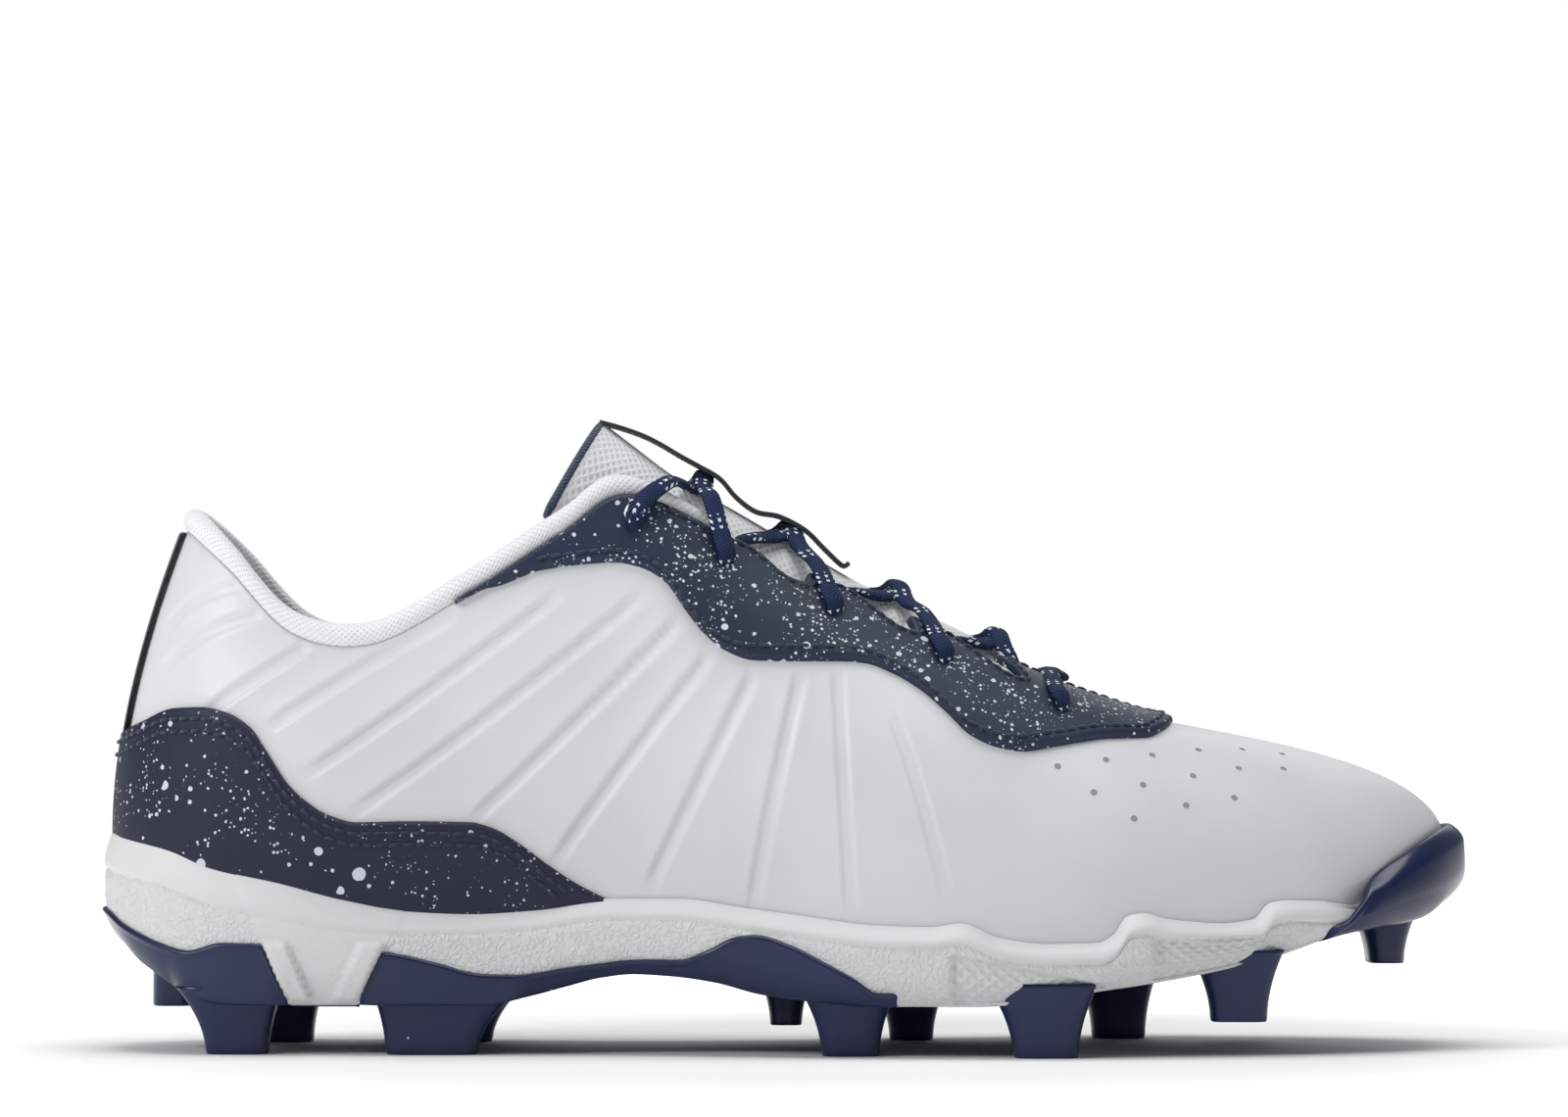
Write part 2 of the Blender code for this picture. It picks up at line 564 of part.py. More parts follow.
def upper_room(size, height):
    """Distance from the feather edge that the toe bumper keeps where it reaches the upper."""
    reach = np.maximum(upper_reach(PLACES, height), 0.0) + 1.5 * GAP
    return np.where(size["ray"] >= FOAM_END, reach, -BALL_WIDTH)


def inner_wall(size, height):
    """Distance of the outsole wall's inner face at heights, through its corner, middle and lip."""
    rise = size["middle"] - size["floor"] + GAP
    lower = size["corner"] + (size["wall"] - size["corner"]) * (height - size["floor"]) / rise
    upper = size["wall"] + (size["lip"] - size["wall"]) * (height - size["middle"]) / rise
    return np.where(height < size["middle"], lower, upper)


def behind_wall(size, height):
    """Distance that the foam keeps to behind the toe bumper's wall."""
    return np.where(size["walled"], inner_wall(size, height), size["corner"]) - 4 * GAP


def outsole_mesh():
    """Outsole's plate with its side wall, open over the plate."""
    size = sole_sizes()
    rings = [plan_ring(PLACES, side_offset(PLACES, size["low"]) - size["inset"] - CUP_WALL / 2, size["low"])]
    for share in WALL_BANDS:
        height = size["low"] + (size["top"] - size["low"]) * share
        rings.append(plan_ring(PLACES, side_offset(PLACES, height) + CUP_PROUD - size["inset"], height))
    rings.append(plan_ring(PLACES, size["crest"], size["top"]))
    rings.append(plan_ring(PLACES, size["lip"], size["top"]))
    between = np.where(size["walled"], size["wall"], (size["lip"] + size["corner"]) / 2)
    rings.append(plan_ring(PLACES, between, size["middle"]))
    rings.append(plan_ring(PLACES, size["corner"], size["floor"]))
    return loft("outsole", rings, tip=True)


def cup_mesh():
    """Foam cup: footbed, inner wall against the upper, rim, side and the step behind the outsole's wall."""
    size = sole_sizes()
    shares = upper_shares()[: len(CUP_ROWS)]
    inner = [last_offset(PLACES, share, np.full(len(PLACES), GAP)) for share in shares]
    inner[0][:, 2] = last_point(PLACES, shares[0])[:, 2] - GAP
    rim = inner[-1][:, 2]
    rim_reach = ((inner[-1][:, :2] - feather(PLACES)) * outward(PLACES)).sum(axis=1)
    beside = (size["ray"] >= FOAM_LOW[0]) & (size["ray"] <= FOAM_LOW[1])
    slipped = size["inset"] > PLATE_INSET / 2
    edge = rim + RIM_EDGE * RIM_ROUND[-1][1]
    hidden = size["ray"] >= FOAM_END
    step = np.where(hidden, np.maximum(edge - RIM_EDGE, size["floor"] + 2 * GAP), size["top"] + GAP)
    step = np.where(beside, size["low"], step)
    rings = list(inner)
    for spread, rise in RIM_ROUND:
        height = rim + RIM_EDGE * rise
        reach = rim_reach + RIM_EDGE * spread
        behind = np.maximum(behind_wall(size, height), rim_reach + GAP * 2 * spread)
        rings.append(plan_ring(PLACES, np.where(hidden, np.minimum(reach, behind), reach), height))
    edge_reach = np.where(hidden, np.minimum(reach, behind), reach)
    for share in FOAM_BANDS:
        height = edge + (step - edge) * share
        reach = np.where(hidden, np.minimum(edge_reach, behind_wall(size, height)), side_offset(PLACES, height))
        rings.append(plan_ring(PLACES, reach, height))
    clear = size["crest"] + 3 * GAP
    foot = size["corner"] - GAP
    back = np.where(hidden, reach - GAP, np.where(slipped, clear, size["lip"] - GAP))
    rings.append(plan_ring(PLACES, back, step))
    middle = np.where(hidden, (step + size["floor"] + GAP) / 2, size["middle"])
    middle = np.where(size["walled"] | hidden, middle, size["floor"] + GAP)
    waist = np.where(slipped, clear - np.where(beside, 0.0, GAP), (back + foot) / 2)
    waist = np.where(size["walled"], inner_wall(size, middle) - GAP, waist)
    rings.append(plan_ring(PLACES, np.where(hidden, np.minimum(waist, reach - GAP), waist), middle))
    rings.append(plan_ring(PLACES, foot, size["floor"] + GAP))
    return loft("midsole", rings, tip=True)


def keystone_block(name, side, grow):
    """Wedge between the heel studs where the foam shows down to the underside."""
    corners = []
    for flank in (0, 1):
        foot_x, top_x = KEY_FOOT[flank] * HALF_LENGTH, KEY_TOP[flank] * HALF_LENGTH
        corners.append((np.array([foot_x, side_y(foot_x, base_height(0.0), side), base_height(0.0)]),
                        np.array([top_x, side_y(top_x, base_height(KEY_HEIGHT), side), base_height(KEY_HEIGHT)])))
    levels = []
    for share in (-0.4 if grow else 0.01, 1.0):
        ring = []
        for flank, shift in ((0, -grow), (1, grow)):
            foot, top = corners[flank]
            face = foot + (top - foot) * share + np.array([shift, 0.0, grow * share])
            inside, outside = face.copy(), face.copy()
            inside[1] -= side * (KEY_DEPTH + grow)
            outside[1] += side * (KEY_DEPTH * 0.5 if grow else -GAP / 3)
            ring += [inside, outside] if flank == 0 else [outside, inside]
        levels.append(np.array(ring))
    return loft(name, levels)


def keystone_rib(name, side, edge):
    """Smooth rib that stands proud along one flank of the keystone."""
    inward_step = 1 if edge == 0 else -1
    levels = []
    for share in (0.12, 0.5, 0.94):
        flank = (KEY_FOOT[edge] + (KEY_TOP[edge] - KEY_FOOT[edge]) * share) * HALF_LENGTH
        first = flank + inward_step * GAP * 3
        last = first + inward_step * KEY_RIB_WIDTH
        height = base_height(KEY_HEIGHT * share)
        near, far = (side_y(x, height, side) for x in (first, last))
        levels.append(np.array([
            (first, near - side * KEY_DEPTH / 2, height),
            (last, far - side * KEY_DEPTH / 2, height),
            (last, far + side * KEY_RIB_PROUD, height),
            (first, near + side * KEY_RIB_PROUD, height),
        ]))
    return loft(name, levels)


def stud_mesh(row, grow):
    """Tapered stud with a rounded outline, from its flat foot up into the plate."""
    name, x, y, length, width, height, fore, aft, across = row
    centre_x = x * HALF_LENGTH
    centre_y = y * BALL_WIDTH / 2
    foot = height * STUD_DROP
    root = float(underside(np.array(centre_x))) + PLATE * 0.6 + grow
    rings = []
    for share, flare in ((0.0, 0.0), (0.5, 0.25), (1.0, 1.0)):
        half_x = STUD_DROP * (length / 2 + flare * (fore + aft) / 2) + grow
        half_y = STUD_DROP * (width / 2 + flare * across) + grow
        shift = STUD_DROP * flare * (fore - aft) / 2
        ring = []
        for side in range(STUD_SIDES):
            turn = 2 * math.pi * (side + 0.5) / STUD_SIDES
            cos, sin = math.cos(turn), math.sin(turn)
            reach = (abs(cos) ** STUD_SQUARE + abs(sin) ** STUD_SQUARE) ** (-1 / STUD_SQUARE)
            ring.append((centre_x + shift + half_x * reach * cos, centre_y + half_y * reach * sin,
                         foot + (root - foot) * share))
        rings.append(np.array(ring))
    return loft(f"stud_{name}", rings)


def insole_mesh():
    """Sockliner on the footbed, inside the upper's wall."""
    bottom = last_offset(PLACES, np.zeros(len(PLACES)), -UPPER_WALL - 3 * GAP)
    plan = feather(PLACES) - outward(PLACES) * (UPPER_WALL + 3 * GAP)
    bottom[:, :2] = plan
    bottom[:, 2] = footbed(plan[:, 0]) + GAP
    top = bottom.copy()
    top[:, 2] += INSOLE * 0.75
    lid = bottom.copy()
    lid[:, :2] -= outward(PLACES) * INSOLE * 0.35
    lid[:, 2] += INSOLE
    return loft("insole", [bottom, top, lid], tip=True)


def overlay_mesh(name, places, rows, thickness):
    """Overlay on the upper through rows of shares, a list of arrays from its lower to its upper edge."""
    outer, inner = [], []
    for spot, place in enumerate(places):
        shares = np.array([row[spot] for row in rows])
        column = np.full(len(rows), place)
        outer.append(last_offset(column, shares, np.full(len(rows), OVERLAY_SEAT + thickness)))
        inner.append(last_offset(column, shares, np.full(len(rows), OVERLAY_SEAT)))
    return shell_patch(name, outer, inner)


def ring_span(start):
    """Samples from a lateral ray over the toe to the same medial ray."""
    inner = [place for place in PLACES if start < place < 2 * RAYS - start]
    return np.array([start] + inner + [2 * RAYS - start])


def eyestay_mesh():
    """Overlay round the throat, from the collar on one side to the collar on the other."""
    places = ring_span(EYESTAY_START)
    low = np.minimum(share_where(places, below_edge(EYESTAY_EDGE)), EYESTAY_TOP - 3 * ROW_STEP)
    rim = share_where(places, lambda points: points[:, 2] < foam_rim(points[:, 0]))
    rows = [low]
    for count, row in enumerate(UPPER_ROWS[2:4]):
        rows.append(np.maximum(rim + (1.0 - rim) * row, low + ROW_STEP * (count + 1)))
    return overlay_mesh("eyestay", places, rows + [np.ones(len(places))], OVERLAY)


def counter_mesh():
    """Overlay round the heel, from the foam's rim to its own top edge."""
    rear = np.array([place for place in PLACES if place <= COUNTER_END])
    places = np.concatenate([-rear[:0:-1], rear])
    rim = share_where(places, lambda points: points[:, 2] < foam_rim(points[:, 0]) + COUNTER_CLEAR)
    top = np.maximum(share_where(places, below_edge(COUNTER_EDGE)), rim + 2 * ROW_STEP)
    rows = [rim + (top - rim) * share for share in (0.0, 1 / 3, 2 / 3, 1.0)]
    return overlay_mesh("heel_counter", places, rows, OVERLAY)


def heel_strip_mesh():
    """Strip up the back of the heel, from the counter to the collar."""
    places = np.array([-0.5, 0.0, 0.5]) * HEEL_STRIP_SPREAD
    low = share_where(places, below_edge(COUNTER_EDGE)) + ROW_STEP
    rows = [low + (STRIP_TOP - low) * share for share in np.linspace(0.0, 1.0, 6)]
    return overlay_mesh("heel_strip", places, rows, HEEL_STRIP)


def ray_at_top(x):
    """Lateral ray whose top edge lies at a length."""
    rays = np.linspace(RAYS * 0.3, RAYS, 400)
    return float(np.interp(x, ring_value(TOP_X, rays), rays))


def collar_mesh():
    """Roll on the top edge round the ankle with the lining pad under it."""
    start = ray_at_top(EYELETS[1] * HALF_LENGTH)
    rear = np.array([place for place in PLACES if place < start] + [start])
    places = np.concatenate([-rear[:0:-1], rear])
    sections = [collar_section(place) for place in places]
    return loft("collar", sections)


def collar_section(place):
    """Loop of the collar at one ray: roll, pad's face, pad's foot and its back against the wall."""
    spot = np.array([place])
    edge = last_point(spot, np.array([1.0]))[0]
    out = last_normal(spot, np.array([1.0]))[0]
    up = edge - last_point(spot, np.array([EDGE_SHARE]))[0]
    up /= np.linalg.norm(up)
    centre = edge - out * UPPER_WALL / 2 + up * (COLLAR_ROLL + 2 * GAP)
    ankle = 1.0 - float(smooth_step(*ANKLE_FADE, abs(place)))
    loop = []
    for degrees in ROLL_TURNS:
        turn = math.radians(degrees)
        loop.append(centre + COLLAR_ROLL * (out * math.cos(turn) + up * math.sin(turn)))
    pad = COLLAR_PAD * (PAD_THICKNESS[0] + PAD_THICKNESS[1] * ankle)
    reach = PAD_REACH[0] + PAD_REACH[1] * ankle
    back = UPPER_WALL + PAD_GAP
    foot = 1.0 - reach * PAD_FOOT
    for share, depth in ((PAD_TOP, back + pad), (foot, back + pad), (1.0 - reach, back + pad / 2), (foot, back),
                         (PAD_TOP, back)):
        loop.append(last_offset(spot, np.array([share]), np.array([-depth]))[0])
    loop.append(edge - out * (UPPER_WALL + PAD_GAP / 2) + up * 3 * GAP)
    return np.array(loop[::-1])


def tongue_value(row):
    """Row of the tongue at a place between its rows, in metres."""
    rows = np.array(TONGUE_ROWS)
    place = min(max(row, 0.0), len(rows) - 1.0)
    cell = min(int(place), len(rows) - 2)
    share = place - cell
    pick = [rows[min(max(cell + step, 0), len(rows) - 1)] for step in (-1, 0, 1, 2)]
    before, start, end, after = pick
    bend = (2 * before - 5 * start + 4 * end - after) + share * (3 * (start - end) + after - before)
    mixed = start + 0.5 * share * ((end - before) + share * bend)
    crest = np.array([mixed[0] * HALF_LENGTH, high_height(mixed[1])])
    wing = np.array([mixed[2] * HALF_LENGTH, high_height(mixed[4])])
    return crest, wing, mixed[3] * BALL_WIDTH, mixed[5] * TONGUE


def throat_middle(x):
    """Width place of the throat's middle line."""
    order = np.argsort(ROWS[:, 3])
    return float(np.interp(x, ROWS[order, 3] * HALF_LENGTH, MIDDLE[order]))


def tongue_point(row, turn, depth=0.0):
    """Point of the tongue at a row and an arch turn from -1 to 1, at a depth under its face."""
    crest, wing, half, _ = tongue_value(row)
    angle = turn * math.pi / 2
    drop = (wing - crest) * (1.0 - math.cos(angle))
    span = float(np.linalg.norm(wing - crest))
    y = throat_middle(crest[0]) + half * math.sin(angle)
    face = np.array([crest[0] + drop[0], y, crest[1] + drop[1]])
    down = (wing - crest) / span
    normal = np.array([-down[0] * math.cos(angle) * half, math.sin(angle) * span, -down[1] * math.cos(angle) * half])
    normal /= np.linalg.norm(normal)
    return face - normal * depth


def tongue_mesh():
    """Padded tongue, an arched sheet from under the throat's front to over the collar."""
    steps = (len(TONGUE_ROWS) - 1) * 2
    turns = np.linspace(-1.0, 1.0, TONGUE_ACROSS)
    outer, inner = [], []
    for step in range(steps + 1):
        row = step / 2
        thick = tongue_value(row)[3]
        outer.append(np.array([tongue_point(row, turn) for turn in turns]))
        inner.append(np.array([tongue_point(row, turn, thick * (1 - 0.5 * turn**6)) for turn in turns]))
    return shell_patch("tongue", outer, inner)


def tongue_row_at(x):
    """Row of the tongue whose crest lies at a length."""
    rows = np.linspace(0, len(TONGUE_ROWS) - 1, 200)
    crest = np.array([tongue_value(row)[0][0] for row in rows])
    return float(np.interp(-x, -crest, rows))


def flat_tube(name, path, widths, thickness):
    """Flat oval tube along points, lying on the tongue's arch."""
    sections = []
    for spot, point in enumerate(path):
        ahead = path[min(spot + 1, len(path) - 1)] - path[max(spot - 1, 0)]
        ahead /= np.linalg.norm(ahead)
        up = widths[spot] - ahead * np.dot(widths[spot], ahead)
        up /= np.linalg.norm(up)
        across = np.cross(ahead, up)
        ring = []
        for side in range(LACE_SIDES):
            turn = 2 * math.pi * (side + 0.5) / LACE_SIDES
            ring.append(point + across * math.cos(turn) * LACE_WIDTH / 2 + up * math.sin(turn) * thickness / 2)
        sections.append(np.array(ring))
    return loft(name, sections)


def throat_half(x):
    """Half width of the throat between the upper's top edges."""
    order = np.argsort(ROWS[:, 3])
    return float(np.interp(x, ROWS[order, 3] * HALF_LENGTH, HALF[order]))


def lace_turn(x, row):
    """Arch turn at which a lace over the tongue meets the upper's edge."""
    room = throat_half(x) - UPPER_WALL - LACE_THICK
    if x < EYELETS[1] * HALF_LENGTH + LACE_WIDTH:
        room -= COLLAR_ROLL
    return math.asin(min(room / tongue_value(row)[2], 1.0)) / (math.pi / 2)


def lace_run(name, start_x, end_x, side):
    """One run of lace over the tongue, from one edge of the throat to the other."""
    path, ups = [], []
    for share in np.linspace(-1.0, 1.0, LACE_STEPS):
        x = ((start_x + end_x) / 2 + (end_x - start_x) / 2 * share) * HALF_LENGTH
        row = tongue_row_at(x)
        turn = -side * lace_turn(x, row) * share
        top = tongue_point(row, turn, -(LACE_GAP + LACE_THICK / 2))
        path.append(top)
        ups.append(top - tongue_point(row, turn, LACE_THICK))
    return flat_tube(name, path, ups, LACE_THICK)


def strap_mesh():
    """Webbing keeper on the tongue that steps up over two crossings."""
    start = len(TONGUE_ROWS) - 1.05
    end = tongue_row_at(STRAP_END * HALF_LENGTH)
    lifted = [crossing[2] * HALF_LENGTH for crossing in CROSSINGS[2:]]
    outer, inner = [], []
    for row in np.linspace(start, end, 19):
        crest, _, half, _ = tongue_value(row)
        near = min(abs(crest[0] - spot) for spot in lifted)
        lift = float(1.0 - smooth_step(STRAP_LIFT, STRAP_SETTLE, near))
        height = LACE_GAP + lift * (LACE_THICK + LACE_GAP)
        reach = math.asin(STRAP_WIDTH / 2 / half) / (math.pi / 2)
        turns = np.linspace(-reach, reach, 5)
        inner.append(np.array([tongue_point(row, turn, -height) for turn in turns]))
        outer.append(np.array([tongue_point(row, turn, -height - STRAP_THICK) for turn in turns]))
    return shell_patch("tongue_strap", outer, inner)


def throat_cutter(name, x, side, depth, half_length, half_width):
    """Oval prism through the throat's edge layers, square to the upper's face."""
    place = ray_at_top(x * HALF_LENGTH)
    if side > 0:
        place = 2 * RAYS - place
    spot = np.array([place])
    edge = last_point(spot, np.array([1.0]))[0]
    low = edge - last_point(spot, np.array([EDGE_SHARE]))[0]
    low /= np.linalg.norm(low)
    normal = last_normal(spot, np.array([EDGE_SHARE]))[0]
    ahead = np.cross(low, normal)
    centre = edge - low * depth
    rings = []
    for reach in (-CUT_LENGTH / 2, CUT_LENGTH / 2):
        ring = []
        for step in range(HOLE_SIDES):
            turn = 2 * math.pi * (step + 0.5) / HOLE_SIDES
            ring.append(centre + normal * reach + ahead * math.cos(turn) * half_length
                        + low * math.sin(turn) * half_width)
        rings.append(np.array(ring))
    return loft(name, rings)


def clear_scene():
    """Removes every object of the scene."""
    for old in list(bpy.data.objects):
        bpy.data.objects.remove(old, do_unlink=True)


def new_collection(name):
    """Collection linked to the scene."""
    made = bpy.data.collections.new(name)
    bpy.context.scene.collection.children.link(made)
    return made


def build_sole(parts, tools, studs, stud_room):
    """Outsole with its studs, and the foam cup with its keystones, cut to clear them."""
    outsole = add_piece(outsole_mesh(), "navy_rubber", parts)
    midsole = add_piece(cup_mesh(), "white_foam", parts)
    for label, side in (("lateral", -1), ("medial", 1)):
        boolean(outsole, "DIFFERENCE", add_tool(keystone_block(f"key_room_{label}", side, GAP), tools))
        boolean(midsole, "UNION", add_tool(keystone_block(f"key_{label}", side, 0.0), tools))
        for edge in (0, 1):
            boolean(midsole, "UNION", add_tool(keystone_rib(f"rib_{label}_{edge}", side, edge), tools))
    for row in STUDS:
        add_tool(stud_mesh(row, 0.0), studs)
        grown = add_tool(stud_mesh(row, GAP), stud_room)
        grown.name = f"room_{row[0]}"
    boolean(outsole, "UNION", tools=studs)
    boolean(midsole, "DIFFERENCE", tools=stud_room)


def build_upper(parts, holes):
    """Upper and eyestay with their eyelets and notches, the other overlays and the collar."""
    upper = add_piece(upper_mesh(), "white_synthetic", parts)
    eyestay = add_piece(eyestay_mesh(), "navy_speckle", parts)
    for label, side in (("lateral", -1), ("medial", 1)):
        for count, x in enumerate(EYELETS):
            add_tool(throat_cutter(f"eyelet_{label}_{count + 1}", x, side, EYELET_DEPTH, EYELET_LENGTH / 2,
                                   EYELET_WIDTH / 2), holes)
        for count, x in enumerate(NOTCHES):
            add_tool(throat_cutter(f"notch_{label}_{count + 1}", x, side, NOTCH_DEPTH - NOTCH_RADIUS,
                                   NOTCH_RADIUS, NOTCH_RADIUS), holes)
    boolean(upper, "DIFFERENCE", tools=holes)
    boolean(eyestay, "DIFFERENCE", tools=holes)
    add_piece(counter_mesh(), "navy_speckle", parts)
    add_piece(heel_strip_mesh(), "navy_webbing", parts)
    add_piece(collar_mesh(), "white_mesh", parts)


def build_throat(parts, tools):
    """Tongue, its keeper strap and the lace's bar and crossings."""
    add_piece(tongue_mesh(), "white_mesh", parts)
    add_piece(strap_mesh(), "navy_webbing", parts)
    add_piece(lace_run("lace_front_bar", FRONT_BAR, FRONT_BAR, 1), "navy_lace", parts)
    for count, (fore, aft, _) in enumerate(CROSSINGS):
        crossing = add_piece(lace_run(f"lace_crossing_{count + 1}", fore, aft, 1), "navy_lace", parts)
        other = add_tool(lace_run(f"lace_under_{count + 1}", fore, aft, -1), tools)
        boolean(crossing, "UNION", other)


def main():
    """Builds the whole shoe."""
    clear_scene()
    parts = new_collection("baseball_cleat")
    tools = new_collection("cutters")
    studs = new_collection("stud_forms")
    stud_room = new_collection("stud_rooms")
    holes = new_collection("throat_holes")
    build_sole(parts, tools, studs, stud_room)
    add_piece(insole_mesh(), "grey_insole", parts)
    build_upper(parts, holes)
    build_throat(parts, tools)


main()
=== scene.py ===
"""Looks of a moulded-stud baseball cleat, right shoe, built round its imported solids.

Metres, X towards the toe, Y towards the medial side, Z up from the floor under the studs. Every visible
form is worked out from the same last as the solids: a ring of rays from the feather edge to the collar or
the throat.
"""

import logging
import math
from dataclasses import dataclass, field
from enum import IntEnum
from typing import Callable, Optional

import bpy
import numpy as np
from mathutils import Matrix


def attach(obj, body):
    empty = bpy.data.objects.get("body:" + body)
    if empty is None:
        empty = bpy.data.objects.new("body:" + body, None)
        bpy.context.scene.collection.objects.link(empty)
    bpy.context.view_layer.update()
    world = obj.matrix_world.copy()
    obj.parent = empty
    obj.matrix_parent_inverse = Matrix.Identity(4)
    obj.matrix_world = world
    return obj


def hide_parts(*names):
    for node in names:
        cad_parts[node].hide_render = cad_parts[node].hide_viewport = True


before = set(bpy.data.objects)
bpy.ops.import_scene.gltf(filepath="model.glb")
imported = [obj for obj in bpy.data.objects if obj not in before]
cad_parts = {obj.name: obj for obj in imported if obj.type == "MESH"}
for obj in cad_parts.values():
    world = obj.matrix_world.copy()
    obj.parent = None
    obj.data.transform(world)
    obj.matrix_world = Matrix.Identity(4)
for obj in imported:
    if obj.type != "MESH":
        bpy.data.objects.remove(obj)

log = logging.getLogger("cleat")
MM = 0.001
Array = np.ndarray
Colour = tuple[float, float, float]
Node = bpy.types.Node
Socket = bpy.types.NodeSocket

LENGTH = 0.300
BALL_WIDTH = 0.102
STUD_DROP = 0.011
SOLE_RISE = 0.020
COLLAR_RISE = 0.110
WELT = 0.005
HALF_LENGTH = LENGTH / 2
UPPER_WALL = 0.002
OVERLAY = 0.0012
OVERLAY_SEAT = 0.0005
PLATE = 0.0030
PLATE_INSET = 0.0070
SIDE_TUCK = 0.0042
SIDE_ROUND = 0.0022
INSOLE = 0.0040
TONGUE = 0.0050
COLLAR_ROLL = 0.0027
COLLAR_PAD = 0.0032
LACE_WIDTH = 0.0042
LACE_THICK = 0.0020

# The last, a row for each ray from the heel to the toe
LAST = (
    # feather x, lat, med, top x, half, mid, height, swell lat, med, lift, run, shoulder, drop
    (-1.000, 0.000, 0.000, -0.880, 0.000, 0.000, 0.936, 0.050, 0.050, 0.330, 0.35, 0.045, 0.290),
    (-0.972, 0.326, 0.326, -0.857, 0.118, 0.000, 0.914, 0.050, 0.050, 0.330, 0.35, 0.045, 0.290),
    (-0.883, 0.565, 0.565, -0.803, 0.211, 0.000, 0.850, 0.052, 0.050, 0.340, 0.35, 0.045, 0.300),
    (-0.745, 0.663, 0.652, -0.707, 0.270, 0.000, 0.724, 0.052, 0.048, 0.350, 0.35, 0.048, 0.330),
    (-0.579, 0.674, 0.641, -0.587, 0.294, 0.002, 0.706, 0.050, 0.046, 0.360, 0.35, 0.050, 0.340),
    (-0.400, 0.652, 0.565, -0.453, 0.289, 0.004, 0.805, 0.048, 0.050, 0.380, 0.32, 0.050, 0.330),
    (-0.221, 0.696, 0.522, -0.320, 0.260, 0.010, 0.925, 0.044, 0.060, 0.400, 0.30, 0.048, 0.300),
    (-0.041, 0.804, 0.554, -0.227, 0.216, 0.015, 1.000, 0.036, 0.062, 0.420, 0.30, 0.042, 0.250),
    (0.138, 0.935, 0.696, -0.087, 0.181, 0.020, 0.918, 0.030, 0.050, 0.440, 0.32, 0.036, 0.200),
    (0.317, 1.000, 0.891, 0.080, 0.162, 0.025, 0.814, 0.030, 0.034, 0.460, 0.36, 0.032, 0.160),
    (0.497, 0.946, 1.011, 0.240, 0.137, 0.030, 0.718, 0.034, 0.028, 0.500, 0.40, 0.028, 0.130),
    (0.662, 0.815, 0.967, 0.373, 0.108, 0.038, 0.634, 0.044, 0.034, 0.540, 0.44, 0.026, 0.120),
    (0.807, 0.620, 0.837, 0.453, 0.078, 0.043, 0.592, 0.062, 0.050, 0.580, 0.47, 0.026, 0.130),
    (0.924, 0.337, 0.641, 0.510, 0.049, 0.047, 0.567, 0.080, 0.070, 0.610, 0.49, 0.028, 0.150),
    (0.983, 0.065, 0.424, 0.537, 0.022, 0.049, 0.560, 0.094, 0.088, 0.630, 0.50, 0.030, 0.170),
    (1.000, -0.174, -0.174, 0.543, 0.000, 0.049, 0.557, 0.098, 0.098, 0.630, 0.50, 0.030, 0.175),
)

# Heights along the sole: length share of half the sole, height share of the sole's rise over the plate
FOOTBED = ((-1.0, 1.10), (-0.95, 0.93), (-0.85, 0.86), (-0.40, 0.83), (-0.10, 0.62), (0.20, 0.44),
           (0.35, 0.40), (0.53, 0.56), (0.73, 0.82), (0.88, 1.12), (1.0, 1.38))
UNDERSIDE = ((-1.0, 0.65), (-0.947, 0.40), (-0.867, 0.10), (-0.787, 0.00), (-0.433, 0.00), (-0.367, 0.09),
             (-0.313, 0.20), (-0.267, 0.29), (-0.22, 0.33), (-0.167, 0.31), (-0.107, 0.25), (-0.037, 0.12),
             (0.05, 0.04), (0.133, 0.00), (0.267, 0.00), (0.47, 0.18), (0.58, 0.30), (0.72, 0.52),
             (0.82, 0.74), (0.957, 0.90), (1.0, 1.05))
SIDE_TOP = ((-1.0, 1.85), (-0.973, 1.80), (-0.893, 1.67), (-0.827, 1.48), (-0.727, 1.32), (-0.633, 1.14),
            (-0.54, 1.02), (-0.447, 0.99), (-0.357, 1.03), (-0.25, 1.13), (-0.153, 1.13), (-0.063, 1.04),
            (0.027, 0.95), (0.117, 0.865), (0.204, 0.845), (0.249, 0.885), (0.307, 0.73), (0.377, 0.665),
            (0.449, 0.675), (0.471, 0.75), (0.493, 0.96), (0.516, 0.99), (0.553, 0.925), (0.637, 0.875),
            (0.68, 0.915), (0.703, 1.085), (0.725, 1.115), (0.791, 1.105), (0.83, 1.21), (0.853, 1.28),
            (0.92, 1.62), (0.983, 1.86), (1.0, 1.90))
CUP_TOP = ((-1.0, 1.00), (-0.96, 0.83), (-0.90, 0.64), (-0.857, 0.565), (-0.807, 0.65), (-0.567, 0.55),
           (-0.503, 0.45), (-0.433, 0.32), (-0.38, 0.31), (-0.32, 0.375), (-0.28, 0.415), (-0.2, 0.475),
           (-0.153, 0.475), (-0.107, 0.59), (-0.07, 0.725), (-0.04, 0.75), (0.007, 0.65), (0.051, 0.49),
           (0.095, 0.31), (0.145, 0.08))
BUMPER_TOP = ((0.80, 0.90), (0.823, 1.00), (0.853, 1.27), (0.92, 1.62), (0.983, 1.86), (1.0, 1.90))
CUP_END = 8.1
BUMPER_START = 12.13

# Keystone: edge line at its top and at its foot, as length shares, and its top's height share
KEY_TOP = (-0.750, -0.567)
KEY_FOOT = (-0.712, -0.612)
KEY_HEIGHT = 0.68

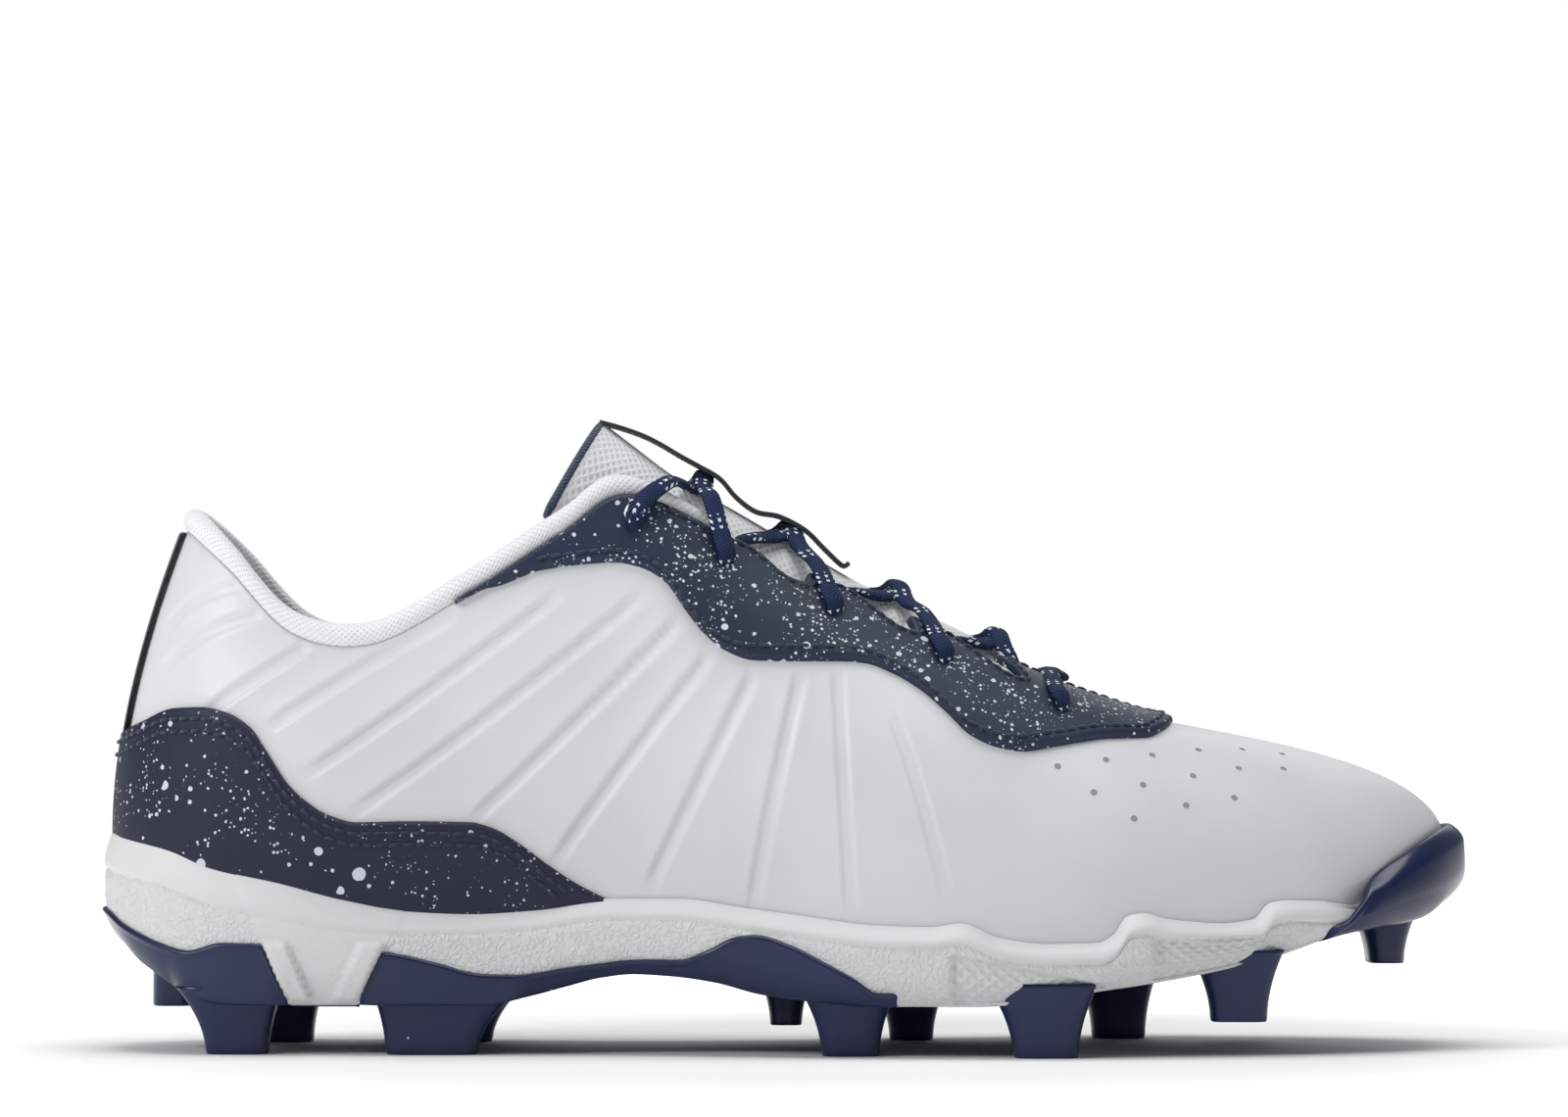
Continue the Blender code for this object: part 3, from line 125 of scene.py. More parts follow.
STUDS = (
    # name, x, y, length, width, height, flare fore, flare aft, flare across, root's rise
    ("heel_lateral", -0.788, -0.49, 1.24, 0.82, 0.00, 0.30, 0.60, 0.30, 0.00),
    ("heel_medial", -0.750, 0.49, 1.24, 0.82, 0.00, 0.30, 0.60, 0.30, 0.00),
    ("waist_lateral", -0.507, -0.53, 1.82, 0.82, 0.00, 0.90, 0.30, 0.30, 0.00),
    ("waist_medial", -0.500, 0.51, 1.72, 0.82, 0.00, 0.90, 0.30, 0.30, 0.00),
    ("heel_rear", -0.893, 0.00, 0.90, 1.60, 0.86, 0.30, 0.00, 0.12, 0.50),
    ("shank", 0.003, -0.05, 0.64, 1.20, 0.48, 0.25, 0.25, 0.25, 0.00),
    ("ball_rear_lateral", 0.095, -0.66, 1.14, 0.86, 0.00, 0.38, 0.45, 0.34, 0.00),
    ("ball_rear_medial", 0.192, 0.66, 0.90, 0.86, 0.00, 0.38, 0.45, 0.34, 0.00),
    ("ball_lateral", 0.373, -0.80, 1.27, 0.90, 0.00, 0.40, 0.55, 0.30, 0.00),
    ("ball_medial", 0.507, 0.80, 1.10, 0.90, 0.00, 0.40, 0.50, 0.30, 0.00),
    ("fore_lateral", 0.653, -0.60, 1.10, 0.86, 0.66, 0.34, 0.45, 0.34, 0.00),
    ("fore_medial", 0.690, 0.66, 1.05, 0.86, 0.82, 0.34, 0.45, 0.34, 0.00),
    ("toe", 0.887, 0.10, 0.74, 1.55, 1.69, 0.30, 0.36, 0.30, 0.00),
)

TONGUE_ROWS = (
    # crest x, crest z, wing x, wing y, wing z, thickness
    (0.610, 0.475, 0.593, 0.120, 0.395, 0.60),
    (0.530, 0.522, 0.513, 0.127, 0.405, 0.70),
    (0.463, 0.576, 0.440, 0.127, 0.425, 0.75),
    (0.397, 0.629, 0.373, 0.130, 0.448, 0.80),
    (0.285, 0.720, 0.255, 0.166, 0.515, 0.85),
    (0.130, 0.819, 0.093, 0.196, 0.605, 0.90),
    (0.000, 0.920, -0.045, 0.214, 0.680, 1.00),
    (-0.073, 0.978, -0.127, 0.202, 0.755, 1.00),
    (-0.158, 1.043, -0.220, 0.186, 0.845, 1.00),
    (-0.227, 1.113, -0.300, 0.196, 0.905, 1.05),
    (-0.267, 1.155, -0.345, 0.212, 0.962, 1.10),
)

# Lower edge of the eyestay and top edge of the heel counter: length and height shares, seen from the side
EYESTAY_EDGE = ((-0.430, 0.815), (-0.350, 0.850), (-0.280, 0.863), (-0.243, 0.866), (-0.207, 0.856),
                (-0.171, 0.827), (-0.143, 0.773), (-0.117, 0.728), (-0.082, 0.690), (-0.045, 0.673),
                (0.009, 0.671), (0.080, 0.671), (0.117, 0.667), (0.155, 0.648), (0.197, 0.614),
                (0.233, 0.571), (0.267, 0.526), (0.306, 0.502), (0.341, 0.494), (0.397, 0.505),
                (0.469, 0.519), (0.523, 0.521), (0.550, 0.535), (0.574, 0.560), (0.620, 0.700),
                (1.000, 2.000))
COUNTER_EDGE = ((-0.980, 0.530), (-0.930, 0.552), (-0.879, 0.579), (-0.837, 0.581), (-0.803, 0.571),
                (-0.768, 0.542), (-0.745, 0.498), (-0.727, 0.460), (-0.712, 0.431), (-0.684, 0.396),
                (-0.656, 0.372), (-0.613, 0.356), (-0.544, 0.358), (-0.451, 0.356), (-0.419, 0.345),
                (-0.381, 0.315), (-0.335, 0.269), (-0.280, 0.223), (-0.240, 0.202))
EYESTAY_START = 4.85
COUNTER_END = 6.2

# Throat: length shares where the lace bends over its edge to each eyelet, from the collar to the toe, then
# the eyelets and the notches between them, seen from the side in millimetres
EYELETS = (-0.165, -0.104, 0.045, 0.200, 0.386)
EYELET_SPOTS = ((-32.3, 114.7), (-13.4, 106.6), (10.2, 95.5), (34.5, 85.1), (59.6, 74.5))
NOTCHES = ((2.0, 102.3), (25.7, 91.1), (49.2, 80.9))

# Lace: length shares where each crossing starts and ends, from the toe, and where the front bar lies
CROSSINGS = ((0.363, 0.256), (0.225, 0.100), (0.064, -0.055), (-0.098, -0.155))
FRONT_BAR = 0.405

# Keeper strap from the tongue's top over two crossings, seen from the side in millimetres
STRAP_LINE = (
    (-40.9, 138.1), (-36.4, 136.9), (-31.5, 135.2), (-27.4, 133.2), (-23.0, 130.6), (-18.6, 128.2),
    (-14.2, 125.6), (-10.5, 121.4), (-6.2, 118.3), (-1.0, 117.2), (4.7, 114.2), (9.0, 110.0),
    (12.9, 106.4), (14.3, 106.9),
)

# Pleats of the quarter, seen from the side: foot, middle and head, each as length and height in millimetres,
# then how deep the channel is as a share of the deepest one
PLEATS = (
    ((-136.1, 92.1), (-129.2, 99.1), (-117.0, 102.6), 0.70),
    ((-137.0, 82.8), (-127.1, 91.5), (-112.0, 96.6), 0.75),
    ((-125.4, 74.8), (-117.6, 80.5), (-102.0, 90.4), 0.80),
    ((-113.0, 70.8), (-94.0, 83.1), (-68.0, 98.4), 0.85),
    ((-105.4, 60.5), (-79.7, 77.8), (-46.0, 103.0), 1.00),
    ((-95.9, 51.7), (-65.6, 73.2), (-28.0, 103.0), 1.00),
    ((-68.7, 51.1), (-50.2, 68.3), (-20.0, 98.0), 1.00),
    ((-52.0, 40.0), (-35.1, 63.5), (-15.0, 89.5), 1.00),
    ((-31.0, 35.0), (-19.7, 58.4), (-6.5, 85.0), 0.95),
    ((-8.3, 30.0), (-3.7, 55.3), (3.1, 85.0), 0.80),
    ((13.3, 27.5), (11.5, 58.4), (10.2, 84.5), 0.50),
    ((34.5, 30.5), (26.6, 60.5), (22.0, 72.0), 0.35),
)

# Vamp perforations on one side: length and height in millimetres
PERFORATIONS = (
    (58.4, 62.0), (69.1, 63.6), (79.5, 64.7), (89.9, 65.6), (99.9, 65.8), (109.2, 64.6),
    (66.8, 56.7), (77.5, 58.5), (88.1, 60.1), (98.5, 61.5), (108.7, 61.8),
    (75.2, 51.3), (86.1, 53.5), (97.0, 55.4),
)


class Side(IntEnum):
    """Side of the shoe, which is the sign of its width places too."""

    LATERAL = -1
    MEDIAL = 1

    @property
    def other(self) -> "Side":
        """The opposite side."""
        return Side(-self)


def smooth_step(low: float, high: float, value: Array) -> Array:
    """Rises from 0 at low to 1 at high with flat ends."""
    share = np.clip((np.asarray(value, dtype=float) - low) / (high - low), 0.0, 1.0)
    return share * share * (3.0 - 2.0 * share)


def unit(vectors: Array) -> Array:
    """Vectors scaled to length 1."""
    return vectors / np.maximum(np.linalg.norm(vectors, axis=-1, keepdims=True), 1e-12)

def running_length(points: Array) -> Array:
    """Length of a line from its start to each of its points."""
    return np.concatenate([[0.0], np.cumsum(np.linalg.norm(np.diff(points, axis=0), axis=1))])


def through(before: Array, start: Array, end: Array, after: Array, share: Array) -> Array:
    """Place at a share of the way from start to end, on a smooth curve through all four places."""
    bend = (2 * before - 5 * start + 4 * end - after) + share * (3 * (start - end) + after - before)
    return start + 0.5 * share * ((end - before) + share * bend)


def base_height(share: Array) -> Array:
    """Height over the floor of a share of the sole's rise."""
    return STUD_DROP + share * SOLE_RISE


def high_height(share: Array) -> Array:
    """Height over the floor of a share of the collar's rise."""
    return STUD_DROP + share * COLLAR_RISE


def along(table: tuple, place: Array) -> Array:
    """Value of a two-column table on a curve that never overshoots its rows.

    Args:
        table: rows of place and value, in rising order of place.
        place: places to read.

    Returns:
        The values there.
    """
    knots = np.array([row[0] for row in table])
    values = np.array([row[1] for row in table])
    steps = np.diff(knots)
    slopes = np.diff(values) / steps
    ends = np.zeros(len(knots))
    same = slopes[:-1] * slopes[1:] > 0
    ends[1:-1][same] = 2.0 * slopes[:-1][same] * slopes[1:][same] / (slopes[:-1][same] + slopes[1:][same])
    spot = np.clip(np.asarray(place, dtype=float), knots[0], knots[-1])
    cell = np.clip(np.searchsorted(knots, spot) - 1, 0, len(steps) - 1)
    share = (spot - knots[cell]) / steps[cell]
    rise = values[cell + 1] - values[cell]
    bend = (ends[cell] * (1 - share) - ends[cell + 1] * share) * steps[cell] - rise * (1 - 2 * share)
    return values[cell] + rise * share + bend * share * (1 - share)


def spline(points: Array, count: int) -> Array:
    """Points on a smooth curve through given ones, evenly spaced.

    Args:
        points: the curve's own points, one a row.
        count: how many points to return.

    Returns:
        The spaced points, one a row.
    """
    ends = np.concatenate([2 * points[:1] - points[1:2], points, 2 * points[-1:] - points[-2:-1]])
    share = np.linspace(0.0, 1.0, 24, endpoint=False)[:, None]
    fine = [through(*ends[cell:cell + 4], share) for cell in range(len(points) - 1)]
    return evenly(np.concatenate(fine + [points[-1:]]), count)


def evenly(points: Array, count: int) -> Array:
    """The same line with a given count of evenly spaced points."""
    length = running_length(points)
    spots = np.linspace(0.0, length[-1], count)
    return np.stack([np.interp(spots, length, points[:, axis]) for axis in range(points.shape[1])], axis=-1)


class Last:
    """The last that every piece follows, as functions of a ring place and a share of each ray."""

    def __init__(self) -> None:
        """Turns the table's columns into knots round the ring."""
        rows = np.array(LAST)
        self.rows = rows
        self.rays = len(rows) - 1
        feather_half = BALL_WIDTH / 2 - WELT
        self.middle = rows[:, 5] * BALL_WIDTH
        self.half = rows[:, 4] * BALL_WIDTH
        self.feather_x = self.knots(rows[:, 0], rows[:, 0]) * (HALF_LENGTH - WELT)
        self.feather_y = self.knots(-rows[:, 1], rows[:, 2]) * feather_half
        self.feather_y[self.rays] = -rows[self.rays, 1] * feather_half
        self.top_x = self.knots(rows[:, 3], rows[:, 3]) * HALF_LENGTH
        self.top_y = self.knots(self.middle - self.half, self.middle + self.half)
        self.top_z = high_height(self.knots(rows[:, 6], rows[:, 6]))
        self.swell = self.knots(rows[:, 7], rows[:, 8]) * BALL_WIDTH
        self.lift = self.knots(rows[:, 9], rows[:, 9])
        self.run = self.knots(rows[:, 10], rows[:, 10])
        self.shoulder = self.knots(rows[:, 11], rows[:, 11]) * BALL_WIDTH
        self.drop = self.knots(rows[:, 12], rows[:, 12])

    @staticmethod
    def knots(lateral: Array, medial: Array) -> Array:
        """One column round the whole ring, from the heel over the lateral side and back."""
        return np.concatenate([lateral, medial[-2:0:-1]])

    @staticmethod
    def value(knots: Array, place: Array) -> Array:
        """A column at ring places, on a closed smooth curve."""
        place = np.asarray(place, dtype=float)
        cell = np.floor(place).astype(int)
        near = (knots[(cell + step) % len(knots)] for step in (-1, 0, 1, 2))
        return through(*near, place - cell)

    def lateral(self, place: Array) -> Array:
        """Ray of the lateral side that mirrors each ring place."""
        return np.minimum(place, 2 * self.rays - place)

    def on_side(self, ray: Array, side: Side) -> Array:
        """Ring place on one side of a ray of the lateral side."""
        return ray if side is Side.LATERAL else 2 * self.rays - ray

    def feather(self, place: Array) -> Array:
        """Plan point of the feather edge."""
        return np.stack([self.value(self.feather_x, place), self.value(self.feather_y, place)], axis=-1)

    def outward(self, place: Array) -> Array:
        """Plan direction that points out of the feather edge."""
        step = 0.05
        edge = self.feather(np.asarray(place) + step) - self.feather(np.asarray(place) - step)
        return unit(np.stack([edge[..., 1], -edge[..., 0]], axis=-1))

    def point(self, place: Array, share: Array) -> Array:
        """Point of the upper's outer face on a ray, from 0 at the footbed to 1 at the top edge."""
        place = np.asarray(place, dtype=float)
        share = np.asarray(share, dtype=float)[..., None]
        foot, out = self.feather(place), self.outward(place)
        start = np.concatenate([foot, footbed(foot[..., 0])[..., None]], axis=-1)
        end = np.stack([self.value(knots, place) for knots in (self.top_x, self.top_y, self.top_z)], axis=-1)
        height = end[..., 2:] - start[..., 2:]
        low = np.concatenate([foot + out * self.value(self.swell, place)[..., None],
                              start[..., 2:] + height * self.value(self.lift, place)[..., None]], axis=-1)
        plan = (end[..., :2] + (foot - end[..., :2]) * self.value(self.run, place)[..., None]
                + out * self.value(self.shoulder, place)[..., None])
        high = np.concatenate([plan, end[..., 2:] - height * self.value(self.drop, place)[..., None]],
                              axis=-1)
        rest = 1.0 - share
        return start * rest**3 + 3 * low * rest**2 * share + 3 * high * rest * share**2 + end * share**3

    def normal(self, place: Array, share: Array) -> Array:
        """Direction out of the upper's outer face."""
        step = 0.02
        place = np.asarray(place, dtype=float)
        share = np.clip(np.asarray(share, dtype=float), step, 1.0 - step)
        ring = self.point(place + step, share) - self.point(place - step, share)
        ray = self.point(place, share + step) - self.point(place, share - step)
        return unit(np.cross(ring, ray))

    def offset(self, place: Array, share: Array, distance: Array) -> Array:
        """Point at a distance from the upper's outer face, out where it is positive."""
        return self.point(place, share) + self.normal(place, share) * np.asarray(distance)[..., None]

    def share_where(self, place: Array, test: Callable[[Array], Array]) -> Array:
        """Highest share of each ray up to which a test of its points holds, by halving."""
        low, high = np.zeros(len(place)), np.ones(len(place))
        for _ in range(22):
            middle = (low + high) / 2
            holds = test(self.point(place, middle))
            low, high = np.where(holds, middle, low), np.where(holds, high, middle)
        return low

    def below(self, table: tuple) -> Callable[[Array], Array]:
        """Test for points under an edge given as length and height shares."""
        return lambda points: points[:, 2] < high_height(along(table, points[:, 0] / HALF_LENGTH))

    def ray_length(self, place: Array) -> Array:
        """Length that a whole share would have at the ray's top end."""
        place = np.asarray(place, dtype=float)
        full = np.ones(place.shape)
        return np.linalg.norm(self.point(place, full) - self.point(place, full * 0.96), axis=-1) / 0.04

    def ray_at_top(self, x: float) -> float:
        """Lateral ray whose top edge lies at a length."""
        rays = np.linspace(self.rays * 0.3, self.rays, 400)
        return float(np.interp(x, self.value(self.top_x, rays), rays))

    def locate(self, x: float, z: float, side: Side) -> tuple[float, float]:
        """Ring place and share of the face that shows at a length and height from one side.

        Args:
            x: length in metres.
            z: height in metres.
            side: the side that is looked at.

        Returns:
            The ring place and the share.
        """
        places = self.on_side(np.linspace(0.0, self.rays, 300), side)
        grid, shares = np.meshgrid(places, np.linspace(0.05, 1.0, 200), indexing="ij")
        spots = self.point(grid, shares)
        gap = (spots[..., 0] - x) ** 2 + (spots[..., 2] - z) ** 2
        best = np.unravel_index(np.argmin(gap), gap.shape)
        return float(grid[best]), float(shares[best])


def footbed(x: Array) -> Array:
    """Height of the foam under the insole."""
    return base_height(along(FOOTBED, x / HALF_LENGTH))


def underside(x: Array) -> Array:
    """Height of the sole's underside between the studs."""
    return base_height(along(UNDERSIDE, x / HALF_LENGTH))


def side_top(x: Array) -> Array:
    """Height where the sole's side ends against the upper."""
    return base_height(along(SIDE_TOP, x / HALF_LENGTH))


def mesh_object(name: str, points: Array, faces: list, uv: Optional[Array] = None) -> bpy.types.Object:
    """Smooth object for points and faces.

    Args:
        name: the piece's name.
        points: one vertex a row.
        faces: lists of vertex numbers.
        uv: surface place in metres of each vertex, or nothing.

    Returns:
        The object, linked to the scene.
    """
    mesh = bpy.data.meshes.new(name)
    mesh.from_pydata(points.tolist(), [], faces)
    mesh.update()
    if uv is not None:
        layer = mesh.uv_layers.new(name="Surface")
        corner = np.zeros(len(mesh.loops), dtype=np.int32)
        mesh.loops.foreach_get("vertex_index", corner)
        layer.data.foreach_set("uv", uv.astype(np.float32)[corner].ravel())
    mesh.shade_smooth()
    made = bpy.data.objects.new(name, mesh)
    bpy.context.scene.collection.objects.link(made)
    return made


def grid_faces(rows: int, columns: int, closed: bool) -> Array:
    """Quads of a grid of points, wound so that rows times columns point out."""
    spans = columns if closed else columns - 1
    row, column = np.meshgrid(np.arange(rows - 1), np.arange(spans), indexing="ij")
    after = (column + 1) % columns
    quads = np.stack([row * columns + column, row * columns + after,
                      (row + 1) * columns + after, (row + 1) * columns + column], axis=-1)
    return quads.reshape(-1, 4)


def grid_uv(grid: Array) -> Array:
    """Surface place of each grid point in metres: along the columns, then along the rows."""
    across = np.linalg.norm(np.diff(grid, axis=1), axis=2).mean(axis=0)
    down = np.linalg.norm(np.diff(grid, axis=0), axis=2).mean(axis=1)
    u = np.concatenate([[0.0], np.cumsum(across)])
    v = np.concatenate([[0.0], np.cumsum(down)])
    return np.stack(np.broadcast_arrays(u[None, :], v[:, None]), axis=-1).reshape(-1, 2)


def grid_object(name: str, grid: Array, closed: bool = False, flip: bool = False) -> bpy.types.Object:
    """Sheet through a grid of points, rows by columns.

    Args:
        name: the piece's name.
        grid: points as rows, columns, three.
        closed: whether the columns run round a ring.
        flip: whether the faces point the other way.

    Returns:
        The object.
    """
    faces = grid_faces(*grid.shape[:2], closed)
    if flip:
        faces = faces[:, ::-1]
    return mesh_object(name, grid.reshape(-1, 3), faces.tolist(), grid_uv(grid))


def ring_part(grid: Array) -> tuple[Array, Array, Array]:
    """Points, quads and surface places of a grid whose columns run round a ring."""
    return grid.reshape(-1, 3), grid_faces(*grid.shape[:2], True), grid_uv(grid)


def sweep(path: Array, ups: Array, section: Array,
          scale: Optional[Array] = None) -> tuple[Array, Array, Array]:
    """Points, quads and surface places of a section swept along a path.

    Args:
        path: points of the path.
        ups: a direction for each point, which the section's second axis follows.
        section: the section's points, across and up.
        scale: size of the section at each point, or nothing for 1.

    Returns:
        Points, quads and surface places.
    """
    ahead = unit(np.gradient(path, axis=0))
    up = unit(ups - ahead * (ups * ahead).sum(axis=1, keepdims=True))
    across = np.cross(ahead, up)
    size = np.ones(len(path)) if scale is None else scale
    points = (path[:, None] + size[:, None, None]
              * (across[:, None] * section[None, :, :1] + up[:, None] * section[None, :, 1:]))
    places = np.broadcast_arrays(running_length(path)[:, None], running_length(section)[None, :])
    quads = grid_faces(len(path), len(section), True)
    return points.reshape(-1, 3), quads, np.stack(places, axis=-1).reshape(-1, 2)


def oval(width: float, height: float, sides: int, square: float = 2.0) -> Array:
    """Rounded section with a width and a height, squarer as the exponent rises."""
    turn = 2 * math.pi * (np.arange(sides) + 0.5) / sides
    cos, sin = np.cos(turn), np.sin(turn)
    reach = (np.abs(cos) ** square + np.abs(sin) ** square) ** (-1 / square)
    return np.stack([width / 2 * cos * reach, height / 2 * sin * reach], axis=-1)


def tube_object(name: str, path: Array, ups: Array, section: Array,
                scale: Optional[Array] = None) -> bpy.types.Object:
    """Capped tube along a path."""
    points, quads, uv = sweep(path, ups, section, scale)
    first = list(range(len(section)))
    last = [len(points) - len(section) + spot for spot in first]
    return mesh_object(name, points, quads.tolist() + [first[::-1], last], uv)


def joined(name: str, parts: list) -> bpy.types.Object:
    """One object from several sets.

    Args:
        name: the piece's name.
        parts: sets of points, quads and surface places.

    Returns:
        The object.
    """
    points, quads, places = zip(*parts)
    starts = np.cumsum([0] + [len(spots) for spots in points[:-1]])
    faces = np.concatenate([quad + start for quad, start in zip(quads, starts)])
    return mesh_object(name, np.concatenate(points), faces.tolist(), np.concatenate(places))


def set_attribute(piece: bpy.types.Object, name: str, values: Array) -> None:
    """Stores one number a vertex for a material to read."""
    layer = piece.data.attributes.new(name, "FLOAT", "POINT")
    layer.data.foreach_set("value", np.asarray(values, dtype=np.float32).ravel())


def dress(piece: bpy.types.Object, finish: bpy.types.Material, slot: str, *nodes: str) -> bpy.types.Object:
    """Gives a piece its material and its body, and hides the nodes that it stands for.

    Args:
        piece: the object.
        finish: its material.
        slot: the record's material slot; not used.
        nodes: the nodes that it replaces.

    Returns:
        The piece.
    """
    piece.data.materials.clear()
    piece.data.materials.append(finish)
    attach(piece, "root")
    if nodes:
        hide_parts(*nodes)
    log.info("%s: %d faces", piece.name, len(piece.data.polygons))
    return piece


class Nodes:
    """Short way to add and link shader nodes in one tree."""

    def __init__(self, tree: bpy.types.NodeTree) -> None:
        """Keeps the tree."""
        self.tree = tree

    def add(self, kind: str, *given: object, **settings: object) -> Node:
        """Adds a node.

        Args:
            kind: the node's type.
            given: values or sockets for its first inputs.
            settings: its own settings, or inputs by name with underscores for spaces.

        Returns:
            The node.
        """
        node = self.tree.nodes.new(kind)
        for name, value in settings.items():
            if hasattr(node, name):
                setattr(node, name, value)
            else:
                self.feed(node, name.replace("_", " "), value)
        for spot, value in enumerate(given):
            self.feed(node, spot, value)
        return node

    def feed(self, node: Node, socket: object, value: object) -> None:
        """Links or sets one input of a node."""
        target = node.inputs[socket]
        if isinstance(value, bpy.types.NodeSocket):
            self.tree.links.new(value, target)
        else:
            target.default_value = value

    def maths(self, operation: str, *given: object) -> Socket:
        """Result of a Math node."""
        return self.add("ShaderNodeMath", *given, operation=operation).outputs[0]

    def mix(self, share: object, first: object, second: object) -> Socket:
        """Mix of two colours, each a socket or a plain colour."""
        node = self.add("ShaderNodeMix", share, data_type="RGBA")
        for spot, colour in ((6, first), (7, second)):
            self.feed(node, spot, (*colour, 1.0) if isinstance(colour, tuple) else colour)
        return node.outputs[2]

    def ramp(self, value: object, low: float, high: float) -> Socket:
        """Smooth rise from 0 at low to 1 at high."""
        return self.add("ShaderNodeMapRange", value, low, high, interpolation_type="SMOOTHSTEP").outputs[0]

    def split(self, vector: object) -> tuple:
        """The three parts of a vector."""
        return tuple(self.add("ShaderNodeSeparateXYZ", vector).outputs)

    def shaken(self, place: Socket, scale: object, detail: float, reach: float) -> Socket:
        """A place moved by a noise, by at most a reach along each axis."""
        noise = self.add("ShaderNodeTexNoise", Vector=place, Scale=scale, Detail=detail)
        return self.add("ShaderNodeVectorMath", noise.outputs["Color"], (reach,) * 3, place,
                        operation="MULTIPLY_ADD").outputs[0]


class Effects:
    """Shader node groups that several finishes share."""

    def __init__(self) -> None:
        """Builds every group once."""
        self.grain = self.make_grain()
        self.specks = self.make_specks()
        self.knit = self.make_knit()
        self.crinkle = self.make_crinkle()

    @staticmethod
    def group(name: str, inputs: dict, outputs: dict) -> tuple:
        """New node group.

        Args:
            name: the group's name.
            inputs: socket names with their type and value.
            outputs: socket names with their type.

        Returns:
            The group, its node helper, its input sockets and its output node.
        """
        tree = bpy.data.node_groups.new(name, "ShaderNodeTree")
        for label, (kind, value) in inputs.items():
            socket = tree.interface.new_socket(name=label, in_out="INPUT", socket_type=kind)
            if value is not None:
                socket.default_value = value
        for label, kind in outputs.items():
            tree.interface.new_socket(name=label, in_out="OUTPUT", socket_type=kind)
        entry = tree.nodes.new("NodeGroupInput")
        leave = tree.nodes.new("NodeGroupOutput")
        return tree, Nodes(tree), entry.outputs, leave

    def make_grain(self) -> bpy.types.NodeTree:
        """Fine pebbled grain with slow colour variation."""
        tree, nodes, given, leave = self.group(
            "fine_grain",
            {"Vector": ("NodeSocketVector", None), "Scale": ("NodeSocketFloat", 900.0)},
            {"Height": "NodeSocketFloat", "Variation": "NodeSocketFloat"})
        cells = nodes.add("ShaderNodeTexVoronoi", Vector=given["Vector"], Scale=given["Scale"])
        wide = nodes.add("ShaderNodeTexNoise", Vector=given["Vector"],
                         Scale=nodes.maths("MULTIPLY", given["Scale"], 0.35), Detail=4.0)
        slow = nodes.add("ShaderNodeTexNoise", Vector=given["Vector"], Scale=28.0, Detail=3.0)
        height = nodes.maths("ADD", nodes.maths("MULTIPLY", cells.outputs["Distance"], 0.6), wide.outputs[0])
        nodes.feed(leave, "Height", height)
        nodes.feed(leave, "Variation", slow.outputs[0])
        return tree

    def make_specks(self) -> bpy.types.NodeTree:
        """Round paint specks of mixed sizes."""
        tree, nodes, given, leave = self.group(
            "paint_specks",
            {"Vector": ("NodeSocketVector", None), "Scale": ("NodeSocketFloat", 300.0),
             "Size": ("NodeSocketFloat", 0.4), "Share": ("NodeSocketFloat", 0.5)},
            {"Mask": "NodeSocketFloat"})
        place = nodes.shaken(given["Vector"], nodes.maths("MULTIPLY", given["Scale"], 2.6), 1.0, 0.0004)
        cells = nodes.add("ShaderNodeTexVoronoi", Vector=place, Scale=given["Scale"])
        pick = nodes.add("ShaderNodeSeparateColor", Color=cells.outputs["Color"])
        kept = nodes.maths("LESS_THAN", pick.outputs[0], given["Share"])
        radius = nodes.maths("MULTIPLY", nodes.maths("POWER", pick.outputs[1], 2.2), given["Size"])
        radius = nodes.maths("ADD", radius, nodes.maths("MULTIPLY", given["Size"], 0.16))
        edge = nodes.maths("SUBTRACT", nodes.maths("MULTIPLY", radius, kept), cells.outputs["Distance"])
        nodes.feed(leave, "Mask", nodes.ramp(edge, -0.012, 0.012))
        return tree

    def make_knit(self) -> bpy.types.NodeTree:
        """Diamond knit in surface coordinates, with the mask where its holes get painted shade."""
        tree, nodes, given, leave = self.group(
            "diamond_knit",
            {"Vector": ("NodeSocketVector", None), "Pitch Along": ("NodeSocketFloat", 0.0022),
             "Pitch Across": ("NodeSocketFloat", 0.0018)},
            {"Height": "NodeSocketFloat", "Hole Shade": "NodeSocketFloat"})
        u, v, _ = nodes.split(given["Vector"])
        first = nodes.maths("MULTIPLY", nodes.maths("DIVIDE", u, given["Pitch Along"]), math.pi)
        second = nodes.maths("MULTIPLY", nodes.maths("DIVIDE", v, given["Pitch Across"]), math.pi)
        rising = nodes.maths("ABSOLUTE", nodes.maths("SINE", nodes.maths("ADD", first, second)))
        falling = nodes.maths("ABSOLUTE", nodes.maths("SINE", nodes.maths("SUBTRACT", first, second)))
        cell = nodes.maths("MULTIPLY", rising, falling)
        fuzz = nodes.add("ShaderNodeTexNoise", Vector=given["Vector"], Scale=2600.0, Detail=3.0)
        height = nodes.maths("SUBTRACT", nodes.maths("MULTIPLY", fuzz.outputs[0], 0.35), cell)
        nodes.feed(leave, "Height", height)
        nodes.feed(leave, "Hole Shade", nodes.ramp(cell, 0.55, 0.95))
        return tree

    def make_crinkle(self) -> bpy.types.NodeTree:
        """Leather-like creases of the moulded foam."""
        tree, nodes, given, leave = self.group(
            "foam_crinkle",
            {"Vector": ("NodeSocketVector", None), "Scale": ("NodeSocketFloat", 420.0)},
            {"Height": "NodeSocketFloat"})
        place = nodes.shaken(given["Vector"], 260.0, 3.0, 0.004)
        cells = nodes.add("ShaderNodeTexVoronoi", feature="DISTANCE_TO_EDGE", Vector=place,
                          Scale=given["Scale"])
        nodes.feed(leave, "Height", nodes.ramp(cells.outputs["Distance"], 0.0, 0.30))
        return tree


EFFECTS = Effects()


